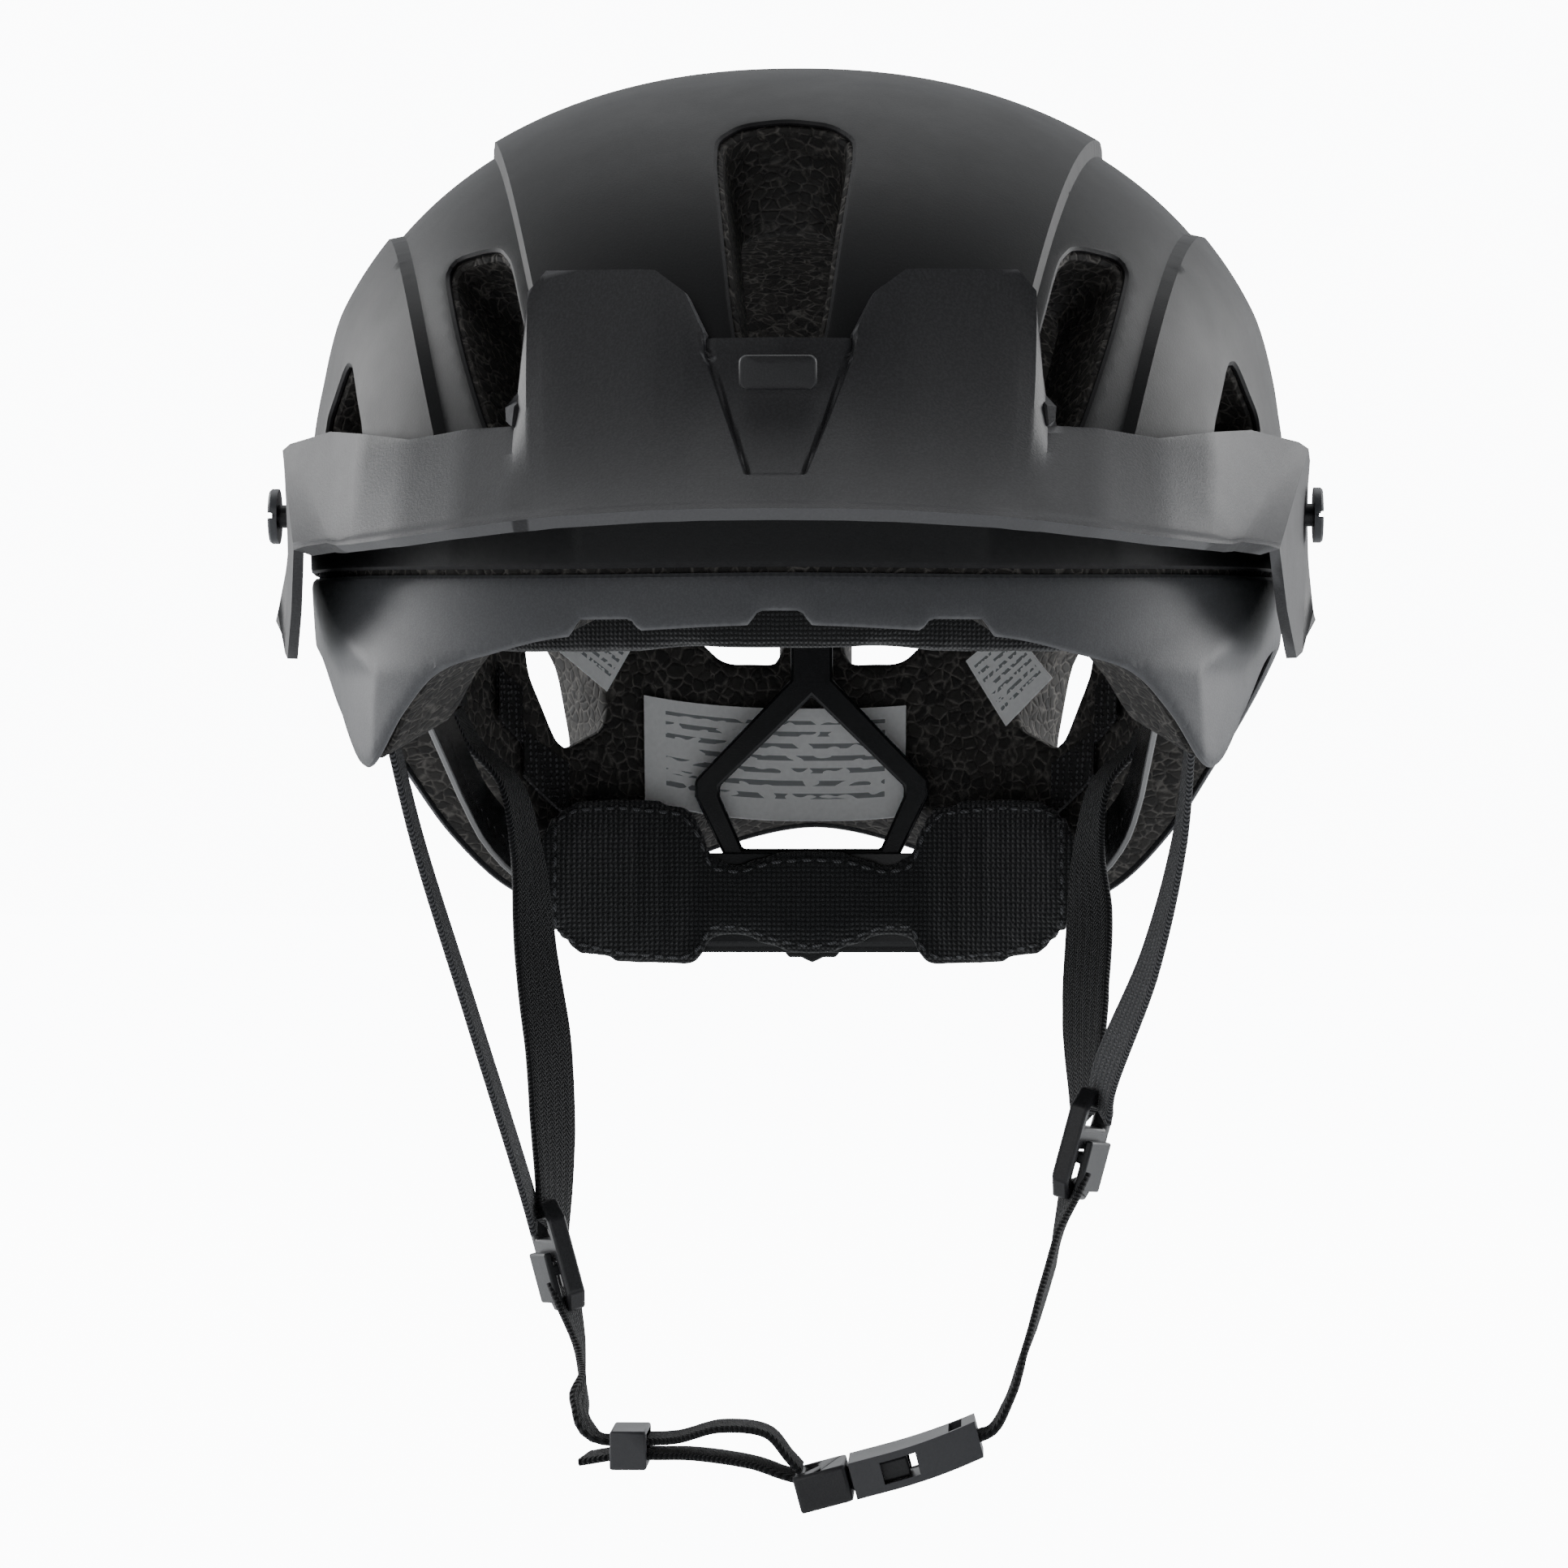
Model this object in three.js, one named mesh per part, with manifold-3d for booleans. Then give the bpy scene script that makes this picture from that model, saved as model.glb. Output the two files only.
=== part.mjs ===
// A mountain-bike cycling helmet with a tilting peak, a dial-fit cradle and a chin-strap harness.
// Millimetres, +Z up, the wearer faces -Y. The origin is the middle of the head at the fit band.
import * as THREE from 'three';
import { mergeVertices } from 'three/addons/utils/BufferGeometryUtils.js';
import Module from 'manifold-3d';

const wasm = await Module();
wasm.setup();

// ---- driving dimensions ----
const CENTRE = new THREE.Vector3(0, 3, 60); // the dome's own centre, above the fit band
const SHELL_HALF_WIDTH = 107.5;
const SHELL_HALF_LENGTH = 137;
const DRAWN_HALF_WIDTH = 107.5; // the outlines and places below are drawn for these two half sizes
const DRAWN_HALF_LENGTH = 137;
const WIDEN = SHELL_HALF_WIDTH / DRAWN_HALF_WIDTH;
const LENGTHEN = SHELL_HALF_LENGTH / DRAWN_HALF_LENGTH;
const SHELL_RISE = 94;
const SHELL_FULLNESS = 2.2; // exponent of the dome: 2 is an ellipsoid, more is squarer
const SHELL_TUCK = 0.0013; // how fast the sides draw in below the dome's centre
const DEPTH_BELOW = 400; // the sides run almost straight down below the dome's centre
const CAVITY_HALF_WIDTH = 85 * WIDEN;
const CAVITY_HALF_LENGTH = 106 * LENGTHEN;
const CAVITY_RISE = 65;
const CAVITY_FULLNESS = 2.4;
const CAVITY_TUCK = 0.0005;
const SHELL_WALL = 1.4;
const GAP = 0.3; // clearance between pieces that sit together
const SEAM_GAP = 1.2; // shadow line between the upper and lower shells
const BAND_STEP = 3; // height of the raised centre band
const RIDGE_HEIGHT = 2; // height of the side ridges
const VENT_LEDGE = 0.93; // foam vents are this share of the shell's vents
const PAD_THICKNESS = 6;
const PAD_GAP = 1.5;
const LINING_GAP = 1.2; // stuck-on labels and hook patches stand this far off the foam
const VISOR_WALL = 2.2;
const VISOR_STANDOFF = 7; // outer face of the visor above the dome
const VISOR_PIVOT = new THREE.Vector3(0, -32 * LENGTHEN, 58);
const VISOR_HALF_SPAN = SHELL_HALF_WIDTH + 4;
const SCREW_RADIUS = 2.5;
const SCREW_HEAD_RADIUS = 6;
const BELT_PIVOT = new THREE.Vector3(77 * WIDEN, -62 * LENGTHEN, 20);
const BELT_PIN_RADIUS = 2.5;
const BELT_WALL = 1.6;
const BELT_HEIGHT = 13;
const BELT_SLOT = 4.4; // width of the foam slots that the belts swing in
const WEBBING_WIDTH = 15;
const WEBBING_THICKNESS = 1.6;
const HANGER_FACE = 99 * LENGTHEN; // y of the hanger's front face
const HANGER_THICKNESS = 2.4;
const STEM_HALF_WIDTH = 5;
const CRADLE_FACE = 96 * LENGTHEN; // y of the cradle frame's front face at the middle
const CRADLE_DEPTH = 8;
const TRAY_HALF_WIDTH = 38; // the rack tray behind the cradle frame
const TRAY_HALF_HEIGHT = 10.3;
const COVER_THICKNESS = 1.6;
const DIAL_CENTRE_Z = -30;
const DIAL_RADIUS = 13;
const DIAL_DEPTH = 8;
const PINION_RADIUS = 4;
const RACK_HEIGHT = 4;
const RACK_DEPTH = 2;
const RACK_LENGTH = 30;
const BUCKLE_WIDTH = WEBBING_WIDTH + 5; // along the wearer's front-back line
const BUCKLE_THICKNESS = 8;
const BUCKLE_WALL = 1.6;
const PRONG_LENGTH = 13;
const KEEPER_LENGTH = 8;
const KEEPER_WALL = 1.2;
const KEEPER_SLACK = 0.9; // room beside the webbing in the keeper

// ---- shells' shape ----
const SHELL = { width: SHELL_HALF_WIDTH, length: SHELL_HALF_LENGTH, rise: SHELL_RISE,
  fullness: SHELL_FULLNESS, tuck: SHELL_TUCK };
const CAVITY = { width: CAVITY_HALF_WIDTH, length: CAVITY_HALF_LENGTH, rise: CAVITY_RISE,
  fullness: CAVITY_FULLNESS, tuck: CAVITY_TUCK };

// Ridge lines: their distance from the middle at the top, and how much nearer they come at the ends.
const RIDGES = [[65, 20], [89, 17], [98.7, 13]].map(([top, fall]) => (
  { top: top * WIDEN, fall: fall * WIDEN }));

// The rim's lower edge on the right side, from front to back; the left side mirrors it.
const RIM = [[0, -137, 30.5], [45, -126, 28.5], [60, -116, 25.5], [72, -104, 22], [80, -94, 14], [87, -80, 3.5],
  [91, -74, 3], [97, -60, 13], [103, -44, 25], [106, -15, 29], [105, 15, 26], [101, 40, 17], [95, 62, 3],
  [86, 80, -14], [74, 98, -29], [60, 112, -33], [42, 124, -28], [26, 130, -18], [0, 134, -12]].map(fitted);
const SEAM = [[0, -137, 42], [60, -116, 42.5], [92, -80, 43.5], [106, -20, 45], [104, 40, 44], [80, 90, 38],
  [45, 125, 33], [0, 136, 31]].map(fitted);

// Vents as corners: distance from the middle, and turn about the side-to-side line through the
// dome's centre, in degrees from straight up towards the front.
const FRONT_CENTRE_VENT = [[-14.4, 54.3], [-9, 51], [0, 50], [9, 51], [14.4, 54.3], [8, 82], [-8, 82]];
const FRONT_SIDE_VENT = [[57, 63.5], [71, 61.4], [66, 75], [59, 86], [51, 85.5], [49, 81]];
const TEMPLE_VENT = [[91, 67], [99.5, 74], [97, 84], [86, 84]];
const REAR_CENTRE_VENT = [[8, -107], [27, -107], [38, -103], [40, -92], [8, -92]];
const REAR_SIDE_VENT = [[60, -117], [74, -123], [84, -113], [80, -99], [64, -104]];
const REAR_UPPER_VENT = [[24, -48], [40, -52], [44, -74], [30, -80]];

// A place that was drawn for the half sizes above, moved to where the present sizes put it.
function fitted([x, y, z]) {
  return [x * WIDEN, y * LENGTHEN, z];
}

function lerp(a, b, t) {
  return a + (b - a) * t;
}

function ramp(low, high, value) {
  const t = Math.min(1, Math.max(0, (value - low) / (high - low)));
  return t * t * (3 - 2 * t);
}

function ridgeX(ridge, turn) {
  const share = Math.min(Math.abs(turn), 90) / 80;
  return ridge.top - ridge.fall * share * share;
}

// How far the surface stands above the plain dome: the raised centre band and the side ridges.
function relief(x, turn) {
  const [band, inner, outer] = RIDGES.map((ridge) => ridgeX(ridge, turn));
  const across = Math.abs(x);
  const centre = BAND_STEP * (1 - ramp(band, band + 4, across));
  const side = RIDGE_HEIGHT * ramp(inner - 3, inner, across) * (1 - ramp(outer, SHELL_HALF_WIDTH, across));
  return (centre + side) * (1 - ramp(84, 100, Math.abs(turn)));
}

// A point of the dome at a distance x from the middle and a turn about the X line, moved out by offset.
function formPoint(form, x, turn, offset = 0, withRelief = false) {
  const angle = THREE.MathUtils.degToRad(turn);
  const forward = Math.sin(angle) * LENGTHEN;
  const up = Math.cos(angle);
  const n = form.fullness;
  const rest = 1 - Math.min(0.999999, Math.abs(x / form.width) ** n);
  const height = up > 0 ? form.rise : DEPTH_BELOW;
  const along = Math.abs(forward / form.length) ** n + Math.abs(up / height) ** n;
  const reach = (rest / along) ** (1 / n);
  const ray = new THREE.Vector3(x, -reach * forward, reach * up);
  const direction = ray.clone().normalize();
  let radius = ray.length();
  if (direction.z < 0) {
    radius = 1 / (1 / radius + form.tuck * direction.z * direction.z);
  }
  radius += offset + (withRelief ? relief(x, turn) : 0);
  return direction.multiplyScalar(radius).add(CENTRE);
}

// ---- mesh helpers ----
function geometryFrom(points, triangles) {
  const geometry = new THREE.BufferGeometry();
  const positions = new Float32Array(points.flatMap((p) => [p.x, p.y, p.z]));
  geometry.setAttribute('position', new THREE.BufferAttribute(positions, 3));
  geometry.setIndex(triangles);
  return geometry;
}

function solidOf(geometry) {
  const plain = geometry.clone();
  plain.deleteAttribute('normal');
  plain.deleteAttribute('uv');
  const merged = mergeVertices(plain, 1e-3);
  return new wasm.Manifold(new wasm.Mesh({ numProp: 3,
    vertProperties: new Float32Array(merged.attributes.position.array),
    triVerts: new Uint32Array(merged.index.array) }));
}

function geometryOf(solid) {
  const mesh = solid.getMesh();
  const geometry = new THREE.BufferGeometry();
  geometry.setAttribute('position', new THREE.BufferAttribute(mesh.vertProperties.slice(), 3));
  geometry.setIndex([...mesh.triVerts]);
  return geometry;
}

// A closed surface all round the dome's centre, ruled by turn about X and by lines that follow the ridges.
function domeSolid(form, offset, withRelief, turns = 36) {
  const shares = withRelief ? [0, 0.5] : [0, 0.12, 0.25, 0.37, 0.5, 0.62, 0.74];
  const points = [formPoint(form, -form.width, 0, offset), formPoint(form, form.width, 0, offset)];
  const triangles = [];
  const lines = (turn) => {
    const [band, inner, outer] = RIDGES.map((ridge) => ridgeX(ridge, turn));
    const side = withRelief ? [band, band + 4, inner - 3, inner, outer,
      0.955 * form.width, 0.985 * form.width, 0.997 * form.width]
      : [0.83, 0.9, 0.95, 0.98, 0.997].map((s) => s * form.width);
    const middle = shares.map((s) => s * (withRelief ? band : form.width));
    const positive = [...middle, ...side];
    return [...positive.slice(1).reverse().map((x) => -x), ...positive];
  };
  const count = lines(0).length;
  for (let i = 0; i < turns; i += 1) {
    const turn = -180 + (360 * i) / turns;
    for (const x of lines(turn)) {
      points.push(formPoint(form, x, turn, offset, withRelief));
    }
  }
  const index = (i, j) => 2 + (i % turns) * count + j;
  for (let i = 0; i < turns; i += 1) {
    triangles.push(0, index(i, 0), index(i + 1, 0));
    triangles.push(1, index(i + 1, count - 1), index(i, count - 1));
    for (let j = 0; j + 1 < count; j += 1) {
      triangles.push(index(i, j), index(i, j + 1), index(i + 1, j + 1));
      triangles.push(index(i, j), index(i + 1, j + 1), index(i + 1, j));
    }
  }
  return outward({ points, triangles });
}

// Turns the faces round when the signed volume is negative, then makes the solid.
function outward({ points, triangles }) {
  let volume = 0;
  for (let i = 0; i < triangles.length; i += 3) {
    const [a, b, c] = [0, 1, 2].map((k) => points[triangles[i + k]]);
    volume += a.dot(b.clone().cross(c));
  }
  const faces = volume > 0 ? triangles : triangles.slice().reverse();
  return solidOf(geometryFrom(points, faces));
}

// Everything below a closed line round the dome: a cone from the dome's centre, closed far below.
function belowLine(line, drop) {
  const right = new THREE.CatmullRomCurve3(line.map(([x, y, z]) => new THREE.Vector3(x, y, z - drop)),
    false, 'centripetal').getPoints(40);
  const left = right.slice(1, -1).reverse().map((p) => new THREE.Vector3(-p.x, p.y, p.z));
  const ring = [...right, ...left].map((p) => p.clone().sub(CENTRE).multiplyScalar(2.5).add(CENTRE));
  const points = [CENTRE.clone(), new THREE.Vector3(0, CENTRE.y, -500), ...ring];
  const triangles = [];
  for (let i = 0; i < ring.length; i += 1) {
    const next = (i + 1) % ring.length;
    triangles.push(0, 2 + i, 2 + next, 1, 2 + next, 2 + i);
  }
  return outward({ points, triangles });
}

// A tapering block through the wall at a vent, aimed at the dome's centre.
function ventCutter(corners, size) {
  const rim = corners.map(([x, turn]) => formPoint(SHELL, x * WIDEN, turn).sub(CENTRE));
  const middle = rim.reduce((sum, p) => sum.add(p), new THREE.Vector3()).divideScalar(rim.length);
  const sized = rim.map((p) => p.clone().lerp(middle, 1 - size));
  const near = sized.map((p) => p.clone().multiplyScalar(0.4).add(CENTRE));
  const far = sized.map((p) => p.clone().multiplyScalar(1.3).add(CENTRE));
  const points = [...near, ...far, middle.clone().multiplyScalar(0.4).add(CENTRE),
    middle.clone().multiplyScalar(1.3).add(CENTRE)];
  const count = rim.length;
  const triangles = [];
  for (let i = 0; i < count; i += 1) {
    const next = (i + 1) % count;
    triangles.push(i, next, count + next, i, count + next, count + i);
    triangles.push(2 * count, next, i, 2 * count + 1, count + i, count + next);
  }
  return outward({ points, triangles });
}

function mirrored(corners) {
  return corners.map(([x, turn]) => [-x, turn]);
}

function allVents(size) {
  const paired = [FRONT_SIDE_VENT, TEMPLE_VENT, REAR_CENTRE_VENT, REAR_SIDE_VENT, REAR_UPPER_VENT];
  return [FRONT_CENTRE_VENT, ...paired, ...paired.map(mirrored)].map((corners) => ventCutter(corners, size));
}

// A closed solid between two matching nets of points.
function between(outerRows, innerRows) {
  const height = outerRows.length;
  const width = outerRows[0].length;
  const points = [...outerRows.flat(), ...innerRows.flat()];
  const shift = height * width;
  const triangles = [];
  const quad = (a, b, c, d) => triangles.push(a, b, c, a, c, d);
  for (let i = 0; i + 1 < height; i += 1) {
    for (let j = 0; j + 1 < width; j += 1) {
      const a = i * width + j;
      quad(a, a + 1, a + width + 1, a + width);
      quad(shift + a, shift + a + width, shift + a + width + 1, shift + a + 1);
    }
    const left = i * width;
    const right = left + width - 1;
    quad(left, left + width, shift + left + width, shift + left);
    quad(right, shift + right, shift + right + width, right + width);
  }
  for (let j = 0; j + 1 < width; j += 1) {
    const low = (height - 1) * width + j;
    quad(j, shift + j, shift + j + 1, j + 1);
    quad(low, low + 1, shift + low + 1, shift + low);
  }
  return outward({ points, triangles });
}

// A sheet of even thickness from rows of points on its outer face; it thickens inwards.
function sheet(rows, thickness) {
  const at = (i, j) => {
    const row = rows[Math.min(rows.length - 1, Math.max(0, i))];
    return row[Math.min(row.length - 1, Math.max(0, j))];
  };
  const inner = rows.map((row, i) => row.map((p, j) => {
    const across = at(i, j + 1).clone().sub(at(i, j - 1));
    const down = at(i + 1, j).clone().sub(at(i - 1, j));
    return p.clone().addScaledVector(across.cross(down).normalize(), thickness);
  }));
  return between(rows, inner);
}

// Webbing along a route; its width points along the given directions, eased from one to the next.
function ribbon(route, facings, width, thickness, steps) {
  const curve = new THREE.CatmullRomCurve3(route.map((p) => new THREE.Vector3(...p)), false, 'centripetal');
  const directions = facings.map((f) => new THREE.Vector3(...f));
  const rows = [];
  for (let i = 0; i <= steps; i += 1) {
    const place = (i / steps) * (directions.length - 1);
    const first = Math.min(directions.length - 2, Math.floor(place));
    const facing = directions[first].clone().lerp(directions[first + 1], place - first).normalize();
    const point = curve.getPointAt(i / steps);
    const tangent = curve.getTangentAt(i / steps);
    const across = facing.addScaledVector(tangent, -facing.dot(tangent)).normalize();
    const normal = tangent.clone().cross(across).normalize().multiplyScalar(thickness / 2);
    rows.push([-0.5, 0.5].map((side) => point.clone().addScaledVector(across, side * width).add(normal)));
  }
  return sheet(rows, thickness);
}

function box(x0, x1, y0, y1, z0, z1) {
  const geometry = new THREE.BoxGeometry(x1 - x0, y1 - y0, z1 - z0);
  return solidOf(geometry.translate((x0 + x1) / 2, (y0 + y1) / 2, (z0 + z1) / 2));
}

// A round bar between two places.
function bar(radius, from, to, sides = 20) {
  const axis = to.clone().sub(from);
  const geometry = new THREE.CylinderGeometry(radius, radius, axis.length(), sides);
  geometry.applyQuaternion(new THREE.Quaternion().setFromUnitVectors(new THREE.Vector3(0, 1, 0),
    axis.clone().normalize()));
  const middle = from.clone().add(to).multiplyScalar(0.5);
  return solidOf(geometry.translate(middle.x, middle.y, middle.z));
}

// A flat outline in the X-Z plane, made solid from y0 to y1.
function plate(outline, y0, y1) {
  const shape = new THREE.Shape(outline.map(([x, z]) => new THREE.Vector2(x, z)));
  const geometry = new THREE.ExtrudeGeometry(shape, { depth: y1 - y0, bevelEnabled: false });
  geometry.rotateX(Math.PI / 2);
  return solidOf(geometry.translate(0, y1, 0));
}

function vec(x, y, z) {
  return new THREE.Vector3(x, y, z);
}

function placed(x, y, z) {
  return vec(...fitted([x, y, z]));
}

// ---- the model ----
const helmet = new THREE.Group();

function addPart(name, solid, look, parent = helmet) {
  const material = new THREE.MeshStandardMaterial(look);
  const mesh = new THREE.Mesh(geometryOf(solid), material);
  mesh.name = name;
  parent.add(mesh);
  return mesh;
}

const MATTE_BLACK = { color: 0x1f1f21, roughness: 0.75, metalness: 0 };
const DARK_GREY = { color: 0x3a3a3c, roughness: 0.65, metalness: 0 };
const MID_GREY = { color: 0x58595b, roughness: 0.6, metalness: 0 };
const FOAM = { color: 0x2b2a28, roughness: 0.95, metalness: 0 };
const WEBBING = { color: 0x151618, roughness: 0.95, metalness: 0 };
const KNIT = { color: 0x101112, roughness: 1, metalness: 0 };
const GLOSS_BLACK = { color: 0x141517, roughness: 0.35, metalness: 0 };
const LABEL = { color: 0xe6e7e8, roughness: 0.5, metalness: 0 };
const STEEL = { color: 0x55565a, roughness: 0.4, metalness: 1 };

// Pockets that the hardware needs in the foam and the shells.
const FRONT_ANCHOR = placed(84.4, -63, 16);
const REAR_ANCHOR = placed(80.2, 42, 18);
const ANCHOR_HALF_WIDTH = WEBBING_WIDTH / 2 + 1;
const ANCHOR_HALF_THICKNESS = 1.8;
const ANCHOR_DEPTH = 12;
const INSERT_RADIUS = 5.5;
const INSERT_DEPTH = 7;
const INSERT_FACE = SHELL_HALF_WIDTH - 2.5; // x of the visor insert's outer face
const TRACK_HALF_WIDTH = 7.6;
const TRACK_LOW = 36;
const TRACK_HIGH = 60;
const TRACK_BACK = HANGER_FACE + 11; // y of the track's back, sunk into the foam

function anchorBlock(place, side, extra) {
  const half = ANCHOR_HALF_THICKNESS + extra;
  return box(side * place.x - half, side * place.x + half, place.y - ANCHOR_HALF_WIDTH - extra,
    place.y + ANCHOR_HALF_WIDTH + extra, place.z - extra * 40, place.z + ANCHOR_DEPTH + extra);
}

function visorInsert(side, radius, extra) {
  return bar(radius, vec(side * (INSERT_FACE - INSERT_DEPTH - extra), VISOR_PIVOT.y, VISOR_PIVOT.z),
    vec(side * (INSERT_FACE + extra), VISOR_PIVOT.y, VISOR_PIVOT.z));
}

function beltPin(side, radius, extra) {
  const reach = BELT_SLOT / 2 + 3 + extra;
  return bar(radius, vec(side * (BELT_PIVOT.x - reach), BELT_PIVOT.y, BELT_PIVOT.z),
    vec(side * (BELT_PIVOT.x + reach), BELT_PIVOT.y, BELT_PIVOT.z), 16);
}

function beltSlot(side) {
  const [a, b] = [side * (BELT_PIVOT.x - BELT_SLOT / 2), side * (BELT_PIVOT.x + BELT_SLOT / 2)];
  return box(Math.min(a, b), Math.max(a, b), BELT_PIVOT.y - 12, 20 * LENGTHEN, -20, BELT_PIVOT.z + 11);
}

function buildShells() {
  const outer = domeSolid(SHELL, 0, true);
  const wall = domeSolid(SHELL, -SHELL_WALL, true);
  const skin = outer.subtract(wall);
  const rim = belowLine(RIM, 0);
  const vents = allVents(1);
  let upper = skin.subtract(belowLine(SEAM, -SEAM_GAP / 2));
  let lower = skin.subtract(rim).intersect(belowLine(SEAM, SEAM_GAP / 2));
  for (const vent of vents) {
    upper = upper.subtract(vent);
    lower = lower.subtract(vent);
  }
  for (const side of [-1, 1]) {
    upper = upper.subtract(visorInsert(side, INSERT_RADIUS + GAP, 5));
  }
  for (const notch of browNotches()) {
    lower = lower.subtract(notch);
  }
  addPart('upper_shell', upper, MATTE_BLACK);
  addPart('lower_shell', lower, MID_GREY);
}

// Three shallow scallops in the front lip: one at the middle and one to each side.
function browNotches() {
  const lip = [[0, 6, 33.5], [36, 7, 32.2], [-36, 7, 32.2]];
  return lip.map(([x, half, top]) => {
    const shape = [[x - half - 4, 20], [x + half + 4, 20], [x + half, top], [x - half, top]];
    return plate(shape, -150, -100);
  });
}

function buildFoam() {
  let foam = domeSolid(SHELL, -SHELL_WALL - GAP, true).subtract(domeSolid(CAVITY, 0, false));
  foam = foam.subtract(belowLine(RIM, -0.6));
  for (const vent of allVents(VENT_LEDGE)) {
    foam = foam.subtract(vent);
  }
  for (const notch of browNotches()) {
    foam = foam.subtract(notch);
  }
  for (const side of [-1, 1]) {
    foam = foam.subtract(anchorBlock(FRONT_ANCHOR, side, GAP)).subtract(anchorBlock(REAR_ANCHOR, side, GAP));
    foam = foam.subtract(visorInsert(side, INSERT_RADIUS + GAP, GAP));
    foam = foam.subtract(visorInsert(side, INSERT_RADIUS + GAP, 0).translate(side * 5, 0, 0));
    foam = foam.subtract(beltSlot(side));
    foam = foam.subtract(beltPin(side, BELT_PIN_RADIUS + GAP, GAP));
  }
  foam = foam.subtract(box(-TRACK_HALF_WIDTH - GAP, TRACK_HALF_WIDTH + GAP, HANGER_FACE - 9,
    TRACK_BACK + GAP, TRACK_LOW - 60, TRACK_HIGH + GAP));
  addPart('foam_liner', foam, FOAM);
}

function buildShellHardware() {
  for (const [label, side] of [['left', -1], ['right', 1]]) {
    addPart(`${label}_front_strap_anchor`, anchorBlock(FRONT_ANCHOR, side, 0), DARK_GREY);
    addPart(`${label}_rear_strap_anchor`, anchorBlock(REAR_ANCHOR, side, 0), DARK_GREY);
    const insert = visorInsert(side, INSERT_RADIUS, 0).subtract(visorInsert(side, SCREW_RADIUS + GAP, 1));
    addPart(`${label}_visor_insert`, insert, DARK_GREY);
    addPart(`${label}_belt_pin`, beltPin(side, BELT_PIN_RADIUS, 0), DARK_GREY);
  }
}

function buildHangerTrack() {
  const rails = box(-TRACK_HALF_WIDTH, TRACK_HALF_WIDTH, HANGER_FACE - 1, TRACK_BACK, TRACK_LOW, TRACK_HIGH);
  const slot = box(-STEM_HALF_WIDTH - 0.6, STEM_HALF_WIDTH + 0.6, HANGER_FACE - 5,
    HANGER_FACE + HANGER_THICKNESS + 2, TRACK_LOW - 5, TRACK_HIGH - 2);
  addPart('hanger_track', rails.subtract(slot), GLOSS_BLACK);
}

function steps(from, to, count) {
  return Array.from({ length: count + 1 }, (_, i) => lerp(from, to, i / count));
}

function buildPads() {
  addPart('brow_pad', padOnCavity(steps(-70 * WIDEN, 70 * WIDEN, 14), (x) => browPadTurns(x)), KNIT);
  for (const [label, side] of [['left', -1], ['right', 1]]) {
    const xs = side < 0 ? steps(-40, -22, 3) : steps(22, 40, 3);
    addPart(`${label}_crown_pad`, padOnCavity(xs, () => steps(-50, 50, 10)), KNIT);
  }
}

function browPadTurns(x) {
  const low = 108 + 6 * (Math.abs(x) / 70) ** 2;
  return steps(86, low, 4);
}

// A pad of even thickness on the cavity wall; the columns run across, the turns run down each column.
function padOnCavity(xs, turnsOf) {
  const columns = xs.map((x) => turnsOf(x).map((turn) => formPoint(CAVITY, x, turn, -PAD_GAP)));
  const rows = columns[0].map((_, i) => columns.map((column) => column[i]));
  const depth = PAD_GAP + PAD_THICKNESS;
  const inner = xs.map((x) => turnsOf(x).map((turn) => formPoint(CAVITY, x, turn, -depth)));
  const innerRows = inner[0].map((_, i) => inner.map((column) => column[i]));
  return between(rows, innerRows);
}

// Small round hook patches and printed labels on the cavity wall.
function patchOnCavity(x, turn, halfWidth, halfTurn, thickness) {
  const columns = steps(x * WIDEN - halfWidth, x * WIDEN + halfWidth, 6);
  const turns = steps(turn - halfTurn, turn + halfTurn, 4);
  const face = (depth) => turns.map((t) => columns.map((c) => formPoint(CAVITY, c, t, -depth)));
  return between(face(LINING_GAP), face(LINING_GAP + thickness));
}

function buildLinings() {
  for (const [label, side] of [['left', -1], ['right', 1]]) {
    addPart(`${label}_front_hook_patch`, patchOnCavity(side * 71.5, -122, 2.5, 4, 0.8), KNIT);
    addPart(`${label}_rear_hook_patch`, patchOnCavity(side * 64, -127, 5, 3, 0.8), KNIT);
  }
  addPart('rear_label', patchOnCavity(-9, -118, 32, 6, 0.3), LABEL);
  addPart('left_label', patchOnCavity(-51, -106, 6, 5, 0.3), LABEL);
  addPart('right_label', patchOnCavity(48, -110, 6, 5, 0.3), LABEL);
}

// ---- peak ----
// Columns of the peak from the middle outwards: its top edge, and its lower edge.
function visorColumns() {
  const onDome = (x, turn) => formPoint(SHELL, x * WIDEN, turn, VISOR_STANDOFF);
  const wing = (inset, y, z) => vec(VISOR_HALF_SPAN - inset, y * LENGTHEN, z);
  return [
    [onDome(0, 78.4), placed(0, -168, 52.6), 2], [onDome(14, 78.4), placed(14, -167.6, 52.5), 2],
    [onDome(18, 74.3), placed(18, -167, 52.4), 3], [onDome(24, 71.9), placed(24, -166, 52.3), 3],
    [onDome(45, 70.5), placed(43, -160.5, 51.4), 3], [onDome(48.5, 72.4), placed(47, -159, 51), 3],
    [onDome(50.5, 85), placed(52, -157, 50.6), 1], [onDome(60, 84.8), placed(63, -149.5, 49.6), 1],
    [onDome(72, 85), placed(77, -134, 48.4), 1], [onDome(83, 83), placed(86, -120, 48), 1],
    [wing(15, -70, 74), placed(90, -113.5, 48), 0], [wing(3.5, -45, 73), placed(92.5, -109, 48.6), 0],
    [wing(1, -38, 72), placed(101, -97, 48), 0], [wing(0, -27, 70), placed(103.5, -80, 36), 0],
    [wing(0, -20, 65), placed(106.5, -62, 26.5), 0], [wing(0, -17.5, 57), placed(108.5, -50, 28), 0],
    [wing(0, -20, 49), wing(0, -38, 37), 0]];
}

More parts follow.
